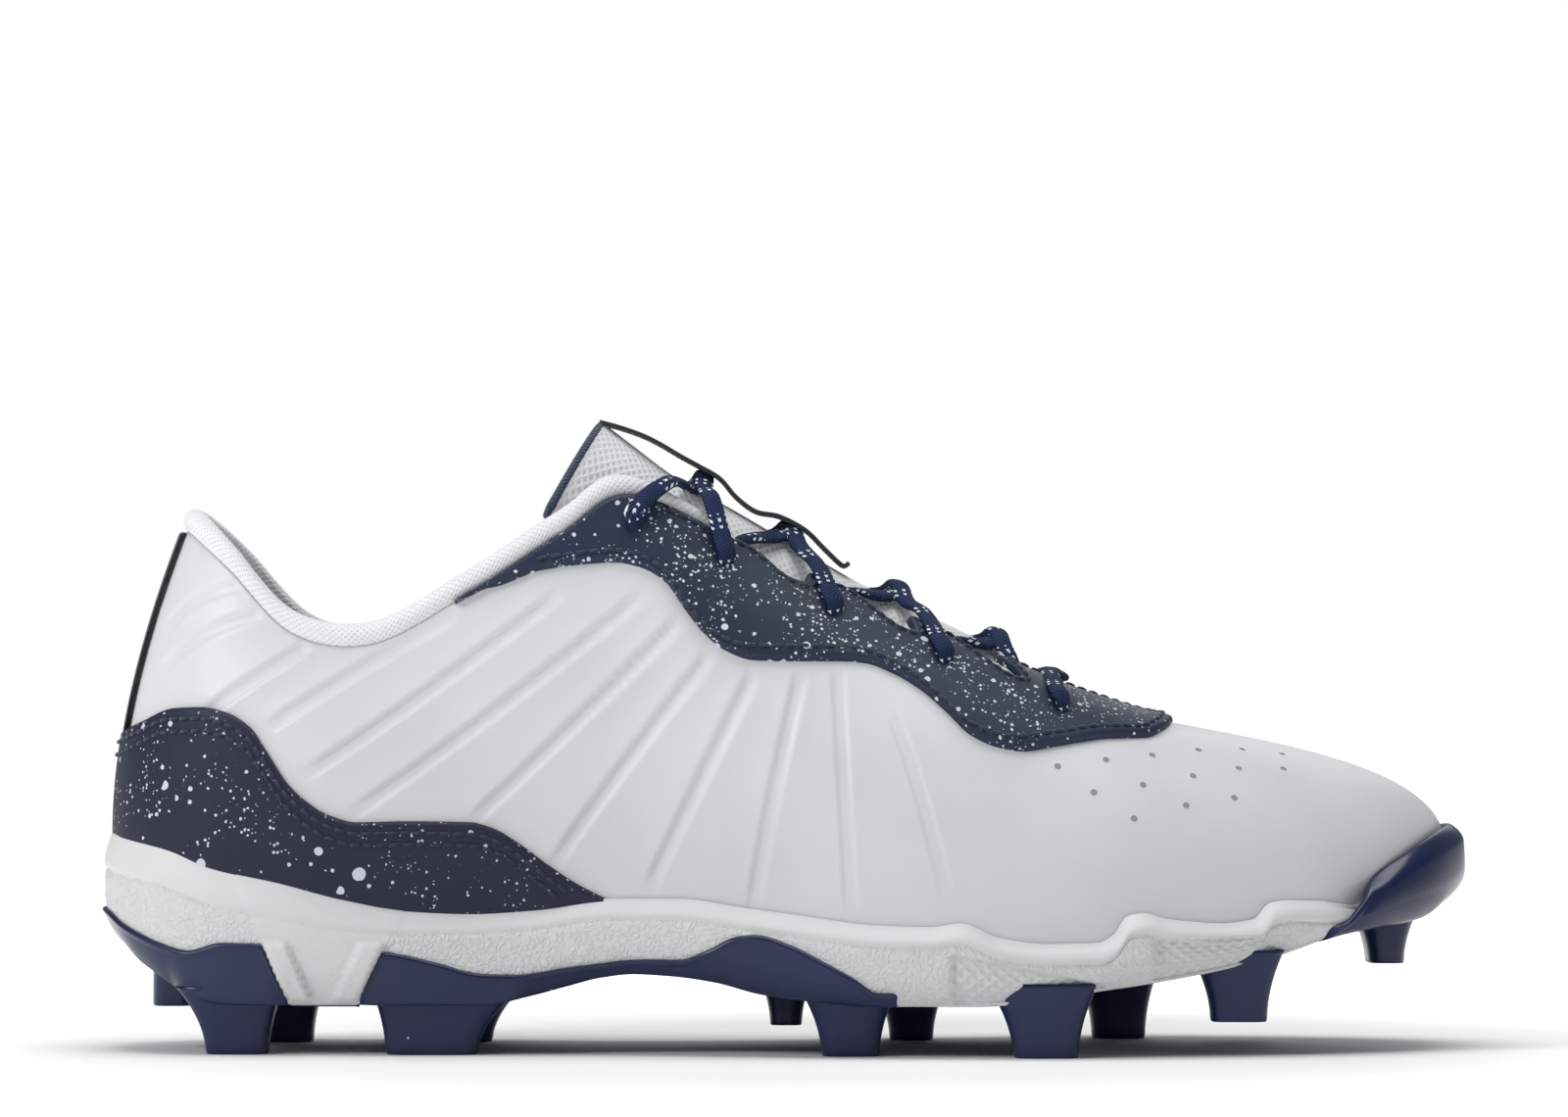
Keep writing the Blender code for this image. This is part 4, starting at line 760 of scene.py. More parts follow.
@dataclass(frozen=True)
class Finish:
    """Base of every finish: a colour, a roughness and a bump, built as one material."""

    name: str
    colour: Colour
    roughness: float
    bump: float = 0.2
    depth: float = 0.0002

    def material(self) -> bpy.types.Material:
        """Material with its Principled shader."""
        made = bpy.data.materials.new(self.name)
        made.use_nodes = True
        nodes = Nodes(made.node_tree)
        shader = made.node_tree.nodes["Principled BSDF"]
        nodes.feed(shader, "Base Color", (*self.colour, 1.0))
        nodes.feed(shader, "Roughness", self.roughness)
        where = nodes.add("ShaderNodeTexCoord")
        self.detail(nodes, shader, where.outputs["Object"], where.outputs["UV"])
        return made

    def detail(self, nodes: Nodes, shader: Node, place: Socket, surface: Socket) -> None:
        """Adds what this finish shows over its plain colour."""
        raise NotImplementedError

    def use(self, nodes: Nodes, group: bpy.types.NodeTree, **inputs: object) -> Node:
        """Places a shared effect."""
        node = nodes.tree.nodes.new("ShaderNodeGroup")
        node.node_tree = group
        for label, value in inputs.items():
            nodes.feed(node, label.replace("_", " "), value)
        return node

    def grain(self, nodes: Nodes, place: Socket, scale: float) -> tuple[Socket, Socket]:
        """Height of the shared grain, and its slow variation from 0 to 1."""
        grain = self.use(nodes, EFFECTS.grain, Vector=place, Scale=scale)
        return grain.outputs["Height"], nodes.ramp(grain.outputs["Variation"], 0.3, 0.7)

    def times(self, factor: float) -> Colour:
        """The finish's colour, lighter or deeper by a factor."""
        return tuple(min(1.0, part * factor) for part in self.colour)

    def raise_surface(self, nodes: Nodes, shader: Node, height: Socket) -> None:
        """Feeds a height through a Bump node."""
        bump = nodes.add("ShaderNodeBump", Height=height, Strength=self.bump, Distance=self.depth)
        nodes.feed(shader, "Normal", bump.outputs[0])


@dataclass(frozen=True)
class Leather(Finish):
    """Coated synthetic with a fine grain."""

    scale: float = 1400.0
    shadow: Colour = (0.6, 0.6, 0.6)

    def detail(self, nodes: Nodes, shader: Node, place: Socket, surface: Socket) -> None:
        """Grain in the bump, slow variation in the colour and the roughness."""
        height, slow = self.grain(nodes, place, self.scale)
        nodes.feed(shader, "Base Color", nodes.mix(slow, self.shadow, self.colour))
        nodes.feed(shader, "Roughness", nodes.maths("MULTIPLY_ADD", slow, 0.06, self.roughness - 0.03))
        self.raise_surface(nodes, shader, height)


@dataclass(frozen=True)
class Speckled(Finish):
    """Dark overlay spattered with light specks."""

    speck: Colour = (0.55, 0.60, 0.67)
    crowd: float = 0.85
    large: float = 0.20

    def detail(self, nodes: Nodes, shader: Node, place: Socket, surface: Socket) -> None:
        """Three sizes of specks over a fine grain."""
        grain, slow = self.grain(nodes, place, 1500.0)
        cloud = nodes.add("ShaderNodeTexNoise", Vector=place, Scale=75.0, Detail=2.0)
        dense = nodes.ramp(cloud.outputs[0], 0.36, 0.62)
        mask = 0.0
        for scale, size, share in ((1250.0, 0.42, nodes.maths("MULTIPLY", dense, self.crowd)),
                                   (640.0, 0.38, self.crowd * 0.26),
                                   (230.0, self.large, 0.16)):
            specks = self.use(nodes, EFFECTS.specks, Vector=place, Scale=scale, Size=size, Share=share)
            mask = nodes.maths("MAXIMUM", specks.outputs[0], mask)
        base = nodes.mix(slow, self.colour, self.times(1.35))
        nodes.feed(shader, "Specular IOR Level", 0.3)
        nodes.feed(shader, "Base Color", nodes.mix(mask, base, self.speck))
        self.raise_surface(nodes, shader, nodes.maths("ADD", nodes.maths("MULTIPLY", grain, 0.5), mask))


@dataclass(frozen=True)
class Knitted(Finish):
    """Knitted mesh in diamonds."""

    along: float = 0.0024
    across: float = 0.0020
    # Colour of the painted shade in the knit's holes
    hole: Colour = (0.40, 0.41, 0.43)

    def detail(self, nodes: Nodes, shader: Node, place: Socket, surface: Socket) -> None:
        """Diamond cells with painted shade in their holes."""
        knit = self.use(nodes, EFFECTS.knit, Vector=surface, Pitch_Along=self.along,
                        Pitch_Across=self.across)
        # Painted shade: darkens the knit's holes
        share = nodes.maths("MULTIPLY", knit.outputs["Hole Shade"], 0.55)
        nodes.feed(shader, "Base Color", nodes.mix(share, self.colour, self.hole))
        nodes.feed(shader, "Sheen Weight", 0.25)
        self.raise_surface(nodes, shader, knit.outputs["Height"])


@dataclass(frozen=True)
class Foam(Finish):
    """Moulded foam, crinkled where the piece says so."""

    def detail(self, nodes: Nodes, shader: Node, place: Socket, surface: Socket) -> None:
        """Crinkle on the side, waffle in the pockets, smooth rim."""
        crinkle = self.use(nodes, EFFECTS.crinkle, Vector=place, Scale=720.0)
        knit = self.use(nodes, EFFECTS.knit, Vector=surface, Pitch_Along=0.0030, Pitch_Across=0.0030)
        side = nodes.add("ShaderNodeAttribute", attribute_name="crinkle").outputs["Fac"]
        pocket = nodes.add("ShaderNodeAttribute", attribute_name="pocket").outputs["Fac"]
        height = nodes.maths("MULTIPLY", crinkle.outputs[0], side)
        waffle = nodes.maths("MULTIPLY", knit.outputs["Height"], nodes.maths("MULTIPLY", pocket, 2.2))
        self.raise_surface(nodes, shader, nodes.maths("ADD", height, waffle))
        nodes.feed(shader, "Subsurface Weight", 0.05)
        nodes.feed(shader, "Subsurface Radius", (0.004, 0.004, 0.004))
        nodes.feed(shader, "Subsurface Scale", 0.5)


@dataclass(frozen=True)
class Rubber(Finish):
    """Moulded rubber with a soft gloss and a few light flecks."""

    fleck: Colour = (0.35, 0.42, 0.55)

    def detail(self, nodes: Nodes, shader: Node, place: Socket, surface: Socket) -> None:
        """Slow waves in the gloss and small flecks."""
        height, slow = self.grain(nodes, place, 700.0)
        flecks = self.use(nodes, EFFECTS.specks, Vector=place, Scale=260.0, Size=0.10, Share=0.05)
        base = nodes.mix(slow, self.times(0.75), self.colour)
        nodes.feed(shader, "Base Color", nodes.mix(flecks.outputs[0], base, self.fleck))
        nodes.feed(shader, "Roughness", nodes.maths("MULTIPLY_ADD", slow, 0.12, self.roughness - 0.06))
        nodes.feed(shader, "Specular IOR Level", 0.35)
        nodes.feed(shader, "Coat Weight", 0.12)
        nodes.feed(shader, "Coat Roughness", 0.22)
        self.raise_surface(nodes, shader, height)


@dataclass(frozen=True)
class Woven(Finish):
    """Tape, binding and thread with ribs along their surface."""

    rib: float = 0.0007

    def detail(self, nodes: Nodes, shader: Node, place: Socket, surface: Socket) -> None:
        """Slanted ribs, with painted light on their crests and painted shade between them."""
        u, v, _ = nodes.split(surface)
        slant = nodes.maths("ADD", u, nodes.maths("MULTIPLY", v, 0.6))
        ribs = nodes.maths("SINE", nodes.maths("MULTIPLY", slant, 2 * math.pi / self.rib))
        # Painted light and shade: the ribs' crests lighter, the grooves between them darker
        share = nodes.ramp(ribs, -1.0, 1.0)
        nodes.feed(shader, "Base Color", nodes.mix(share, self.colour, self.times(2.0)))
        nodes.feed(shader, "Sheen Weight", 0.2)
        self.raise_surface(nodes, shader, ribs)


@dataclass(frozen=True)
class Laced(Finish):
    """Round-edged lace, woven in chevrons with groups of white flecks."""

    fleck: Colour = (0.80, 0.82, 0.85)
    pitch: float = 0.0105
    grouped: float = 0.34
    rib: float = 0.0009
    dash: float = 0.0018
    strand: float = 0.0020

    def detail(self, nodes: Nodes, shader: Node, place: Socket, surface: Socket) -> None:
        """Chevron ribs, with painted light on their crests and painted shade between them, and pairs of
        flecks.
        """
        u, v, _ = nodes.split(surface)
        slant = nodes.maths("ADD", u, nodes.maths("PINGPONG", v, LACE_WIDTH * 0.6))
        ribs, dash, strand = (nodes.maths("SINE", nodes.maths("MULTIPLY", run, 2 * math.pi / pitch))
                              for run, pitch in ((slant, self.rib), (slant, self.dash), (v, self.strand)))
        # Painted light and shade: the ribs' crests lighter, the grooves between them darker
        base = nodes.mix(nodes.ramp(ribs, -0.2, 1.0), self.colour, self.times(2.6))
        turn = nodes.maths("FRACT", nodes.maths("DIVIDE", u, self.pitch))
        fleck = nodes.maths("MULTIPLY", nodes.ramp(dash, -0.1, 0.3), nodes.ramp(strand, 0.25, 0.55))
        fleck = nodes.maths("MULTIPLY", fleck, nodes.maths("LESS_THAN", turn, self.grouped))
        nodes.feed(shader, "Base Color", nodes.mix(fleck, base, self.fleck))
        nodes.feed(shader, "Specular IOR Level", 0.25)
        self.raise_surface(nodes, shader, nodes.maths("ADD", ribs, fleck))


@dataclass(frozen=True)
class Plain(Finish):
    """Matt finish with a faint grain, for the painted shadow at the bottom of holes."""

    scale: float = 2200.0

    def detail(self, nodes: Nodes, shader: Node, place: Socket, surface: Socket) -> None:
        """Faint grain."""
        self.raise_surface(nodes, shader, self.grain(nodes, place, self.scale)[0])


@dataclass(frozen=True)
class GlowingFloor(Plain):
    """White floor with a painted glow that rises away from the object, so that it reads as a lit backdrop.
    """

    def detail(self, nodes: Nodes, shader: Node, place: Socket, surface: Socket) -> None:
        """Faint grain, and painted light: emission that rises with the distance from the middle."""
        super().detail(nodes, shader, place, surface)
        away = nodes.add("ShaderNodeVectorMath", place, operation="LENGTH").outputs["Value"]
        # Painted glow that rises with the distance from the middle, with none near the shoe
        nodes.feed(shader, "Emission Color", (1.0, 1.0, 1.0, 1.0))
        nodes.feed(shader, "Emission Strength", nodes.ramp(away, 0.10, 0.42))


class Palette:
    """All finishes of the shoe."""

    def __init__(self) -> None:
        """Builds each material once."""
        self.upper = Leather("white_synthetic", (0.63, 0.64, 0.66), 0.46, 0.12, 0.0001,
                             shadow=(0.59, 0.60, 0.625)).material()
        self.overlay = Speckled("navy_speckled_overlay", (0.012, 0.020, 0.044), 0.52, 0.15,
                                0.0001).material()
        self.counter = Speckled("navy_speckled_counter", (0.010, 0.013, 0.033), 0.54, 0.15,
                                0.0001, crowd=0.45, large=0.30).material()
        # The knitted finishes carry painted shade in their holes
        self.knit = Knitted("white_knit", (0.72, 0.73, 0.75), 0.85, 0.5, 0.0004).material()
        self.fine_knit = Knitted("white_fine_knit", (0.74, 0.75, 0.77), 0.85, 0.5, 0.0003, along=0.0014,
                                 across=0.0013).material()
        self.lining = Knitted("grey_lining", (0.55, 0.56, 0.58), 0.9, 0.5, 0.0003, along=0.0020,
                              across=0.0020).material()
        self.foam = Foam("white_foam", (0.63, 0.64, 0.645), 0.55, 0.5, 0.0004).material()
        self.rubber = Rubber("navy_rubber", (0.009, 0.016, 0.072), 0.32, 0.06, 0.0002).material()
        # The woven finishes carry painted light and shade on their ribs
        self.binding = Woven("navy_binding", (0.012, 0.020, 0.050), 0.8, 0.6, 0.0002, rib=0.0009).material()
        self.webbing = Woven("black_webbing", (0.008, 0.009, 0.014), 0.75, 0.5, 0.0002,
                             rib=0.0008).material()
        self.thread = Woven("navy_thread", (0.004, 0.009, 0.032), 0.7, 0.4, 0.0001, rib=0.0005).material()
        # The lace carries painted light and shade on its ribs
        self.lace = Laced("navy_lace", (0.006, 0.013, 0.044), 0.8, 0.7, 0.0002).material()
        self.insole = Knitted("grey_insole", (0.30, 0.31, 0.33), 0.9, 0.4, 0.0003).material()
        self.hole = Plain("hole_shadow", (0.012, 0.013, 0.018), 0.9).material()
        self.dimple = Plain("dimple_shadow", (0.26, 0.26, 0.27), 0.9).material()
        # The floor's finish adds a painted glow that rises away from the shoe
        self.floor = GlowingFloor("pale_floor_painted_glow", (0.90, 0.90, 0.90), 0.7, scale=900.0).material()


@dataclass
class Upper:
    """White synthetic upper with pressed pleats and vamp perforations."""

    last: Last
    palette: Palette
    columns: int = 1040
    rows: int = 92
    pleated_end: float = 38 * MM
    plain_pace: float = 0.45
    channel: float = 2.7 * MM
    channel_depth: float = 1.00 * MM
    channel_points: int = 160
    edge: float = 0.44 * MM
    puff: float = 0.50 * MM
    puff_reach: float = 3.2 * MM
    hole: float = 0.80 * MM
    rim_rings: tuple = ((1.45, -0.02 * MM), (1.15, 0.10 * MM), (0.95, 0.05 * MM))
    cup_rings: tuple = ((0.97, 0.04 * MM), (0.02, 0.04 * MM))
    notch_half: float = 5.2 * MM

    def throat_cut(self, places: Array, wider: float = 0.0) -> Array:
        """Depth of the notches in the throat's edge at ring places, in metres."""
        last = self.last
        ray = last.lateral(places)
        top = np.stack([last.value(knots, ray) for knots in (last.top_x, last.top_z)], axis=-1)
        cut = np.zeros(len(places))
        for x, z in NOTCHES:
            centre, share = last.locate(x * MM, z * MM, Side.LATERAL)
            depth = (1.0 - share) * float(last.ray_length(np.array([centre]))[0])
            middle = np.array([last.value(knots, centre) for knots in (last.top_x, last.top_z)])
            gap = np.linalg.norm(top - middle, axis=1)
            cut = np.maximum(cut, depth * np.exp(-((gap / (self.notch_half + wider)) ** 3.4)))
        return cut

    def top_share(self, places: Array) -> Array:
        """Share where the upper ends on each ray."""
        return 1.0 - self.throat_cut(places) / self.last.ray_length(places)

    def even_places(self) -> Array:
        """Ring places of the columns, by length along the side and closer together where the pleats are."""
        fine = np.linspace(0.0, 2 * self.last.rays, 4000)
        spots = self.last.point(fine, np.full(4000, 0.55))
        steps = np.linalg.norm(np.diff(spots, axis=0), axis=1)
        weight = np.where(spots[1:, 0] < self.pleated_end, 1.0, self.plain_pace)
        run = np.concatenate([[0.0], np.cumsum(steps * weight)])
        return np.interp(np.linspace(0.0, run[-1], self.columns, endpoint=False), run, fine)

    def pleat_height(self, points: Array) -> Array:
        """How far the pleats move the surface out, at points seen from the side."""
        x, z = points[..., 0].ravel(), points[..., 2].ravel()
        total = np.zeros(len(x))
        for foot, middle, head, deep in PLEATS:
            share = np.linspace(0.0, 1.0, self.channel_points)[:, None]
            foot, middle, head = (np.array(point) * MM for point in (foot, middle, head))
            handle = 2 * middle - (foot + head) / 2
            line = foot * (1 - share) ** 2 + 2 * handle * share * (1 - share) + head * share**2
            low, high = line.min(axis=0) - 8 * MM, line.max(axis=0) + 8 * MM
            near = np.nonzero((x > low[0]) & (x < high[0]) & (z > low[1]) & (z < high[1]))[0]
            spots = np.stack([x[near], z[near]], axis=-1)
            ahead = unit(np.gradient(line, axis=0))
            gap = spots[:, None] - line[None]
            closest = np.argmin((gap**2).sum(axis=2), axis=1)
            away = gap[np.arange(len(near)), closest]
            side = ahead[closest, 1] * away[:, 0] - ahead[closest, 0] * away[:, 1]
            forward = (ahead[closest] * away).sum(axis=1)
            inside = smooth_step(-self.edge, self.edge, side)
            inside = inside * (1 - smooth_step(self.channel - self.edge, self.channel + self.edge, side))
            end = 1 - smooth_step(0.5 * MM, 2.0 * MM, np.abs(forward))
            run = closest / self.channel_points
            fade = smooth_step(0.0, 0.15, run) * (1 - smooth_step(0.90, 0.975, run)) * end
            swell = np.exp(-((side - self.channel / 2) / self.puff_reach) ** 2) * self.puff
            total[near] += deep * fade * (swell - self.channel_depth * inside)
        return total.reshape(points.shape[:-1])

    def build(self) -> None:
        """Outer face, lining and perforations."""
        last = self.last
        places = self.even_places()
        rim = last.share_where(places, lambda points: points[:, 2] < side_top(points[:, 0]) - 3 * MM)
        top = self.top_share(places)
        share = rim + (top - rim) * np.linspace(0.0, 1.0, self.rows)[:, None]
        place = np.broadcast_to(places, share.shape)
        flat = last.point(place, share)
        outer = flat + last.normal(place, share) * self.pleat_height(flat)[..., None]
        lip = last.offset(place[-1:], share[-1:], np.full((1, self.columns), -UPPER_WALL))
        grid = np.concatenate([outer, lip])
        dress(grid_object("upper_shell", grid, closed=True), self.palette.upper, "upper", "upper")
        self.build_lining(places[::4])
        self.build_perforations()

    def build_lining(self, places: Array) -> None:
        """Knitted lining on the upper's inner face."""
        top = self.top_share(places)
        share = top * np.linspace(0.0, 1.0, 30)[:, None]
        place = np.broadcast_to(places, share.shape)
        grid = self.last.offset(place, share, np.full(share.shape, -UPPER_WALL))
        lining = grid_object("upper_lining", grid, closed=True, flip=True)
        dress(lining, self.palette.lining, "upper")

    def build_perforations(self) -> None:
        """Small pressed holes over the vamp, each a cup of painted shadow with a soft rim."""
        shadow_cups, rims = [], []
        turn = np.linspace(0, 2 * math.pi, 14, endpoint=False)
        for side in Side:
            for x, z in PERFORATIONS:
                spot = [np.array(value) for value in self.last.locate(x * MM, z * MM, side)]
                centre, out = self.last.point(*spot), self.last.normal(*spot)
                across = unit(np.cross(out, np.array([0.0, 0.0, 1.0])))
                circle = across * np.cos(turn)[:, None] + np.cross(across, out) * np.sin(turn)[:, None]
                for made, rings in ((rims, self.rim_rings), (shadow_cups, self.cup_rings)):
                    made.append(ring_part(np.stack([centre + circle * self.hole * reach + out * rise
                                                    for reach, rise in rings])))
        dress(joined("vamp_hole_rims", rims), self.palette.upper, "upper")
        # Painted shadow inside each perforation
        dress(joined("vamp_hole_shadows", shadow_cups), self.palette.dimple, "upper")


@dataclass
class Stitching:
    """Row of stitches along a line on the surface."""

    length: float = 2.4 * MM
    gap: float = 0.45 * MM
    thickness: float = 0.85 * MM
    spots: tuple = (0.0, 0.12, 0.5, 0.88, 1.0)
    lift: tuple = (-0.45, 0.05, 0.22, 0.05, -0.45)
    girth: tuple = (0.3, 0.9, 1.0, 0.9, 0.3)

    def part(self, path: Array, normals: Array) -> list:
        """Stitches as sets of points, faces and surface places.

        Args:
            path: points along the row.
            normals: directions out of the surface.

        Returns:
            One set for each stitch.
        """
        length = running_length(path)
        section = oval(self.thickness, self.thickness * 0.8, 6)
        made = []
        start = self.gap
        while start + self.length < length[-1]:
            spots = start + self.length * np.array(self.spots)
            line, out = (np.stack([np.interp(spots, length, values[:, axis]) for axis in range(3)], axis=-1)
                         for values in (path, normals))
            out = unit(out)
            line += out * (self.thickness * np.array(self.lift))[:, None]
            made.append(sweep(line, out, section, np.array(self.girth)))
            start += self.length + self.gap
        return made


@dataclass
class Overlays:
    """Speckled eyestay and heel counter, their stitches, and the strip up the heel."""

    last: Last
    palette: Palette
    upper: Upper
    round_edge: float = 0.9 * MM
    stitch_lift: float = 0.1 * MM
    counter_lift: float = 0.15 * MM
    tape: float = 0.9 * MM
    edge_seam: float = 2.3 * MM
    throat_seam: float = 2.0 * MM
    throat_seam_rays: tuple[float, float] = (7.2, 14.2)
    counter_seams: tuple[float, float] = (2.5 * MM, 5.0 * MM)
    slot_half: tuple[float, float] = (2.6 * MM, 1.9 * MM)

    def panel(self, name: str, places: Array, low: Array, top: Array, rows: int, slot: str,
              thickness: float, finish: bpy.types.Material) -> bpy.types.Object:
        """Overlay between two edges of shares, rounded down at both.

        Args:
            name: the piece's name.
            places: ring places of its columns.
            low: share of its lower edge on each column.
            top: share of its upper edge on each column.
            rows: rows between the edges.
            slot: the record's material slot, which is its node's name too.
            thickness: its thickness over the upper.
            finish: its material.

        Returns:
            The object.
        """
        span = np.maximum((top - low) * self.last.ray_length(places), 1e-5)
        even = np.linspace(0.0, 1.0, rows)[:, None]
        inset = np.minimum(self.round_edge / span, 0.3)
        turns = np.array([0.0, 0.08, 0.35, 1.0])[:, None]
        foot, head = turns * inset, 1.0 - turns[::-1] * inset
        share = np.concatenate([foot[:-1], inset + (1 - 2 * inset) * even, head[1:]])
        lift = np.concatenate([[-0.1, 0.45, 0.8], np.ones(rows), [0.8, 0.45, -0.1]])[:, None]
        share = low + (top - low) * share
        place = np.broadcast_to(places, share.shape)
        height = (OVERLAY_SEAT + thickness) * np.broadcast_to(lift, share.shape)
        grid = self.last.offset(place, share, height)
        return dress(grid_object(name, grid), finish, slot, slot)

    def seam(self, places: Array, share: Array, lift: float) -> list:
        """Stitches along shares of the rays."""
        lifted = np.full(len(places), OVERLAY_SEAT + lift)
        path = self.last.offset(places, share, lifted)
        return Stitching().part(path, self.last.normal(places, share))

    def build_eyestay(self) -> None:
        """Eyestay round the throat with scalloped edge, stitches and eyelets."""
        last = self.last
        end = 2 * last.rays - EYESTAY_START
        places = np.linspace(EYESTAY_START, end, 900)
        inward = np.minimum(places - places[0], places[-1] - places)
        cap = 0.992 - 0.037 * smooth_step(0.0, 1.1, inward)
        low = np.minimum(last.share_where(places, last.below(EYESTAY_EDGE)), cap)
        top = self.upper.top_share(places)
        self.panel("eyestay_overlay", places, low, np.maximum(top, low + 0.004), 34, "eyestay", OVERLAY,
                   self.palette.overlay)
        length = last.ray_length(places)
        wide = (top - low) * length > 4.4 * MM
        stitches = self.seam(places[wide], (low + self.edge_seam / length)[wide], OVERLAY + self.stitch_lift)
        cut = self.upper.throat_cut(places, 0.8 * MM)
        inner = 1.0 - (cut + self.throat_seam) / length
        first, end = self.throat_seam_rays
        ray = last.lateral(places)
        for half in (places < last.rays, places > last.rays):
            kept = half & (ray > first) & (ray < end)
            stitches += self.seam(places[kept], inner[kept], OVERLAY + self.stitch_lift)
        dress(joined("eyestay_stitches", stitches), self.palette.thread, "eyestay")
        self.build_eyelet_shadows()

    def edge_place(self, x: float, side: Side) -> float:
        """Ring place of a length share along the throat's edge."""
        return self.last.on_side(self.last.ray_at_top(x * HALF_LENGTH), side)

    def eyelet(self, count: int, side: Side) -> tuple:
        """Ring place, share and directions (up the ray, out of the face) of an eyelet."""
        x, z = EYELET_SPOTS[count]
        ray, share = self.last.locate(x * MM, z * MM, Side.LATERAL)
        place, share = np.array(self.last.on_side(ray, side)), np.array(share)
        up = unit(self.last.point(place, share + 0.02) - self.last.point(place, share - 0.02))
        return place, share, up, self.last.normal(place, share)

    def build_eyelet_shadows(self) -> None:
        """Eyelet slots drawn as dark discs of painted shadow."""
        slot_shadows = []
        turn = np.linspace(0, 2 * math.pi, 24, endpoint=False)
        for side in Side:
            for count in range(len(EYELET_SPOTS)):
                place, share, up, out = self.eyelet(count, side)
                centre = self.last.offset(place, share, np.array(OVERLAY_SEAT + OVERLAY + 0.05 * MM))
                centre = centre - up * 0.9 * MM
                ahead = np.cross(up, out)
                wide, high = self.slot_half
                circle = ahead * np.cos(turn)[:, None] * wide + up * np.sin(turn)[:, None] * high
                slot_shadows.append(ring_part(np.stack([centre + circle, centre + circle * 0.9 - out * 0.1 * MM,
                                                 centre + circle * 0.02])))
        # Painted shadow: a dark disc where each eyelet's slot opens
        dress(joined("eyelet_slot_shadows", slot_shadows), self.palette.hole, "eyestay")

    def build_counter(self) -> None:
        """Heel counter with two rows of stitches."""
        last = self.last
        places = np.linspace(-COUNTER_END, COUNTER_END, 620)
        low = last.share_where(places, lambda points: points[:, 2] < side_top(points[:, 0]) - 2 * MM)
        top = np.maximum(last.share_where(places, last.below(COUNTER_EDGE)), low + 0.012)
        self.panel("heel_counter_overlay", places, low, top, 26, "heel_counter", OVERLAY,
                   self.palette.counter)
        length = last.ray_length(places)
        stitches = []
        for depth in self.counter_seams:
            share = top - depth / length
            kept = share > low + 2.6 * MM / length
            stitches += self.seam(places[kept], share[kept], OVERLAY + self.counter_lift)
        dress(joined("heel_counter_stitches", stitches), self.palette.thread, "heel_counter")

    def build_strip(self) -> None:
        """Woven strip up the back of the heel."""
        last = self.last
        places = np.linspace(-0.42, 0.42, 24)
        low = last.share_where(places, last.below(COUNTER_EDGE)) - 0.02
        top = np.full(len(places), 0.995)
        self.panel("heel_strip_tape", places, low, top, 60, "heel_strip", self.tape, self.palette.webbing)

    def build(self) -> None:
        """All overlays."""
        self.build_eyestay()
        self.build_counter()
        self.build_strip()


@dataclass
class Collar:
    """Padded knitted roll on the collar's edge and the pad inside it."""

    last: Last
    palette: Palette
    pad_rows: tuple = ((0.3, 1.0), (0.55, 1.0), (0.8, 0.85), (0.95, 0.45), (1.0, 0.0))

    def section(self, place: float) -> Array:
        """Loop of the collar at one ray, from the roll's outer foot over its top and down the pad."""
        spot, full = np.array([place]), np.array([1.0])
        edge = self.last.point(spot, full)[0]
        out = self.last.normal(spot, full)[0]
        up = unit(edge - self.last.point(spot, full * 0.96)[0])
        centre = edge - out * UPPER_WALL / 2 + up * COLLAR_ROLL
        ankle = 1.0 - float(smooth_step(5.0, 6.6, abs(place)))
        turn = np.radians(np.linspace(-75, 150, 16))[:, None]
        roll = centre + COLLAR_ROLL * (out * np.cos(turn) + up * np.sin(turn))
        pad = COLLAR_PAD * (0.25 + 0.75 * ankle)
        reach = 0.035 + 0.24 * ankle
        rows = [(0.985, 0.55), (0.97, 0.85)] + [(1 - reach * down, depth) for down, depth in self.pad_rows]
        lining = [self.last.offset(spot, np.array([share]), np.array([-(UPPER_WALL + pad * depth)]))[0]
                  for share, depth in rows]
        return np.concatenate([roll, np.array(lining)])

    def build(self) -> None:
        """Collar from the front of one side round the heel to the other."""
        start = self.last.ray_at_top(EYELETS[1] * HALF_LENGTH)
        places = np.linspace(-start, start, 420)
        grid = np.stack([self.section(place) for place in places], axis=1)
        collar = grid_object("collar_roll", grid, flip=True)
        dress(collar, self.palette.fine_knit, "collar", "collar")


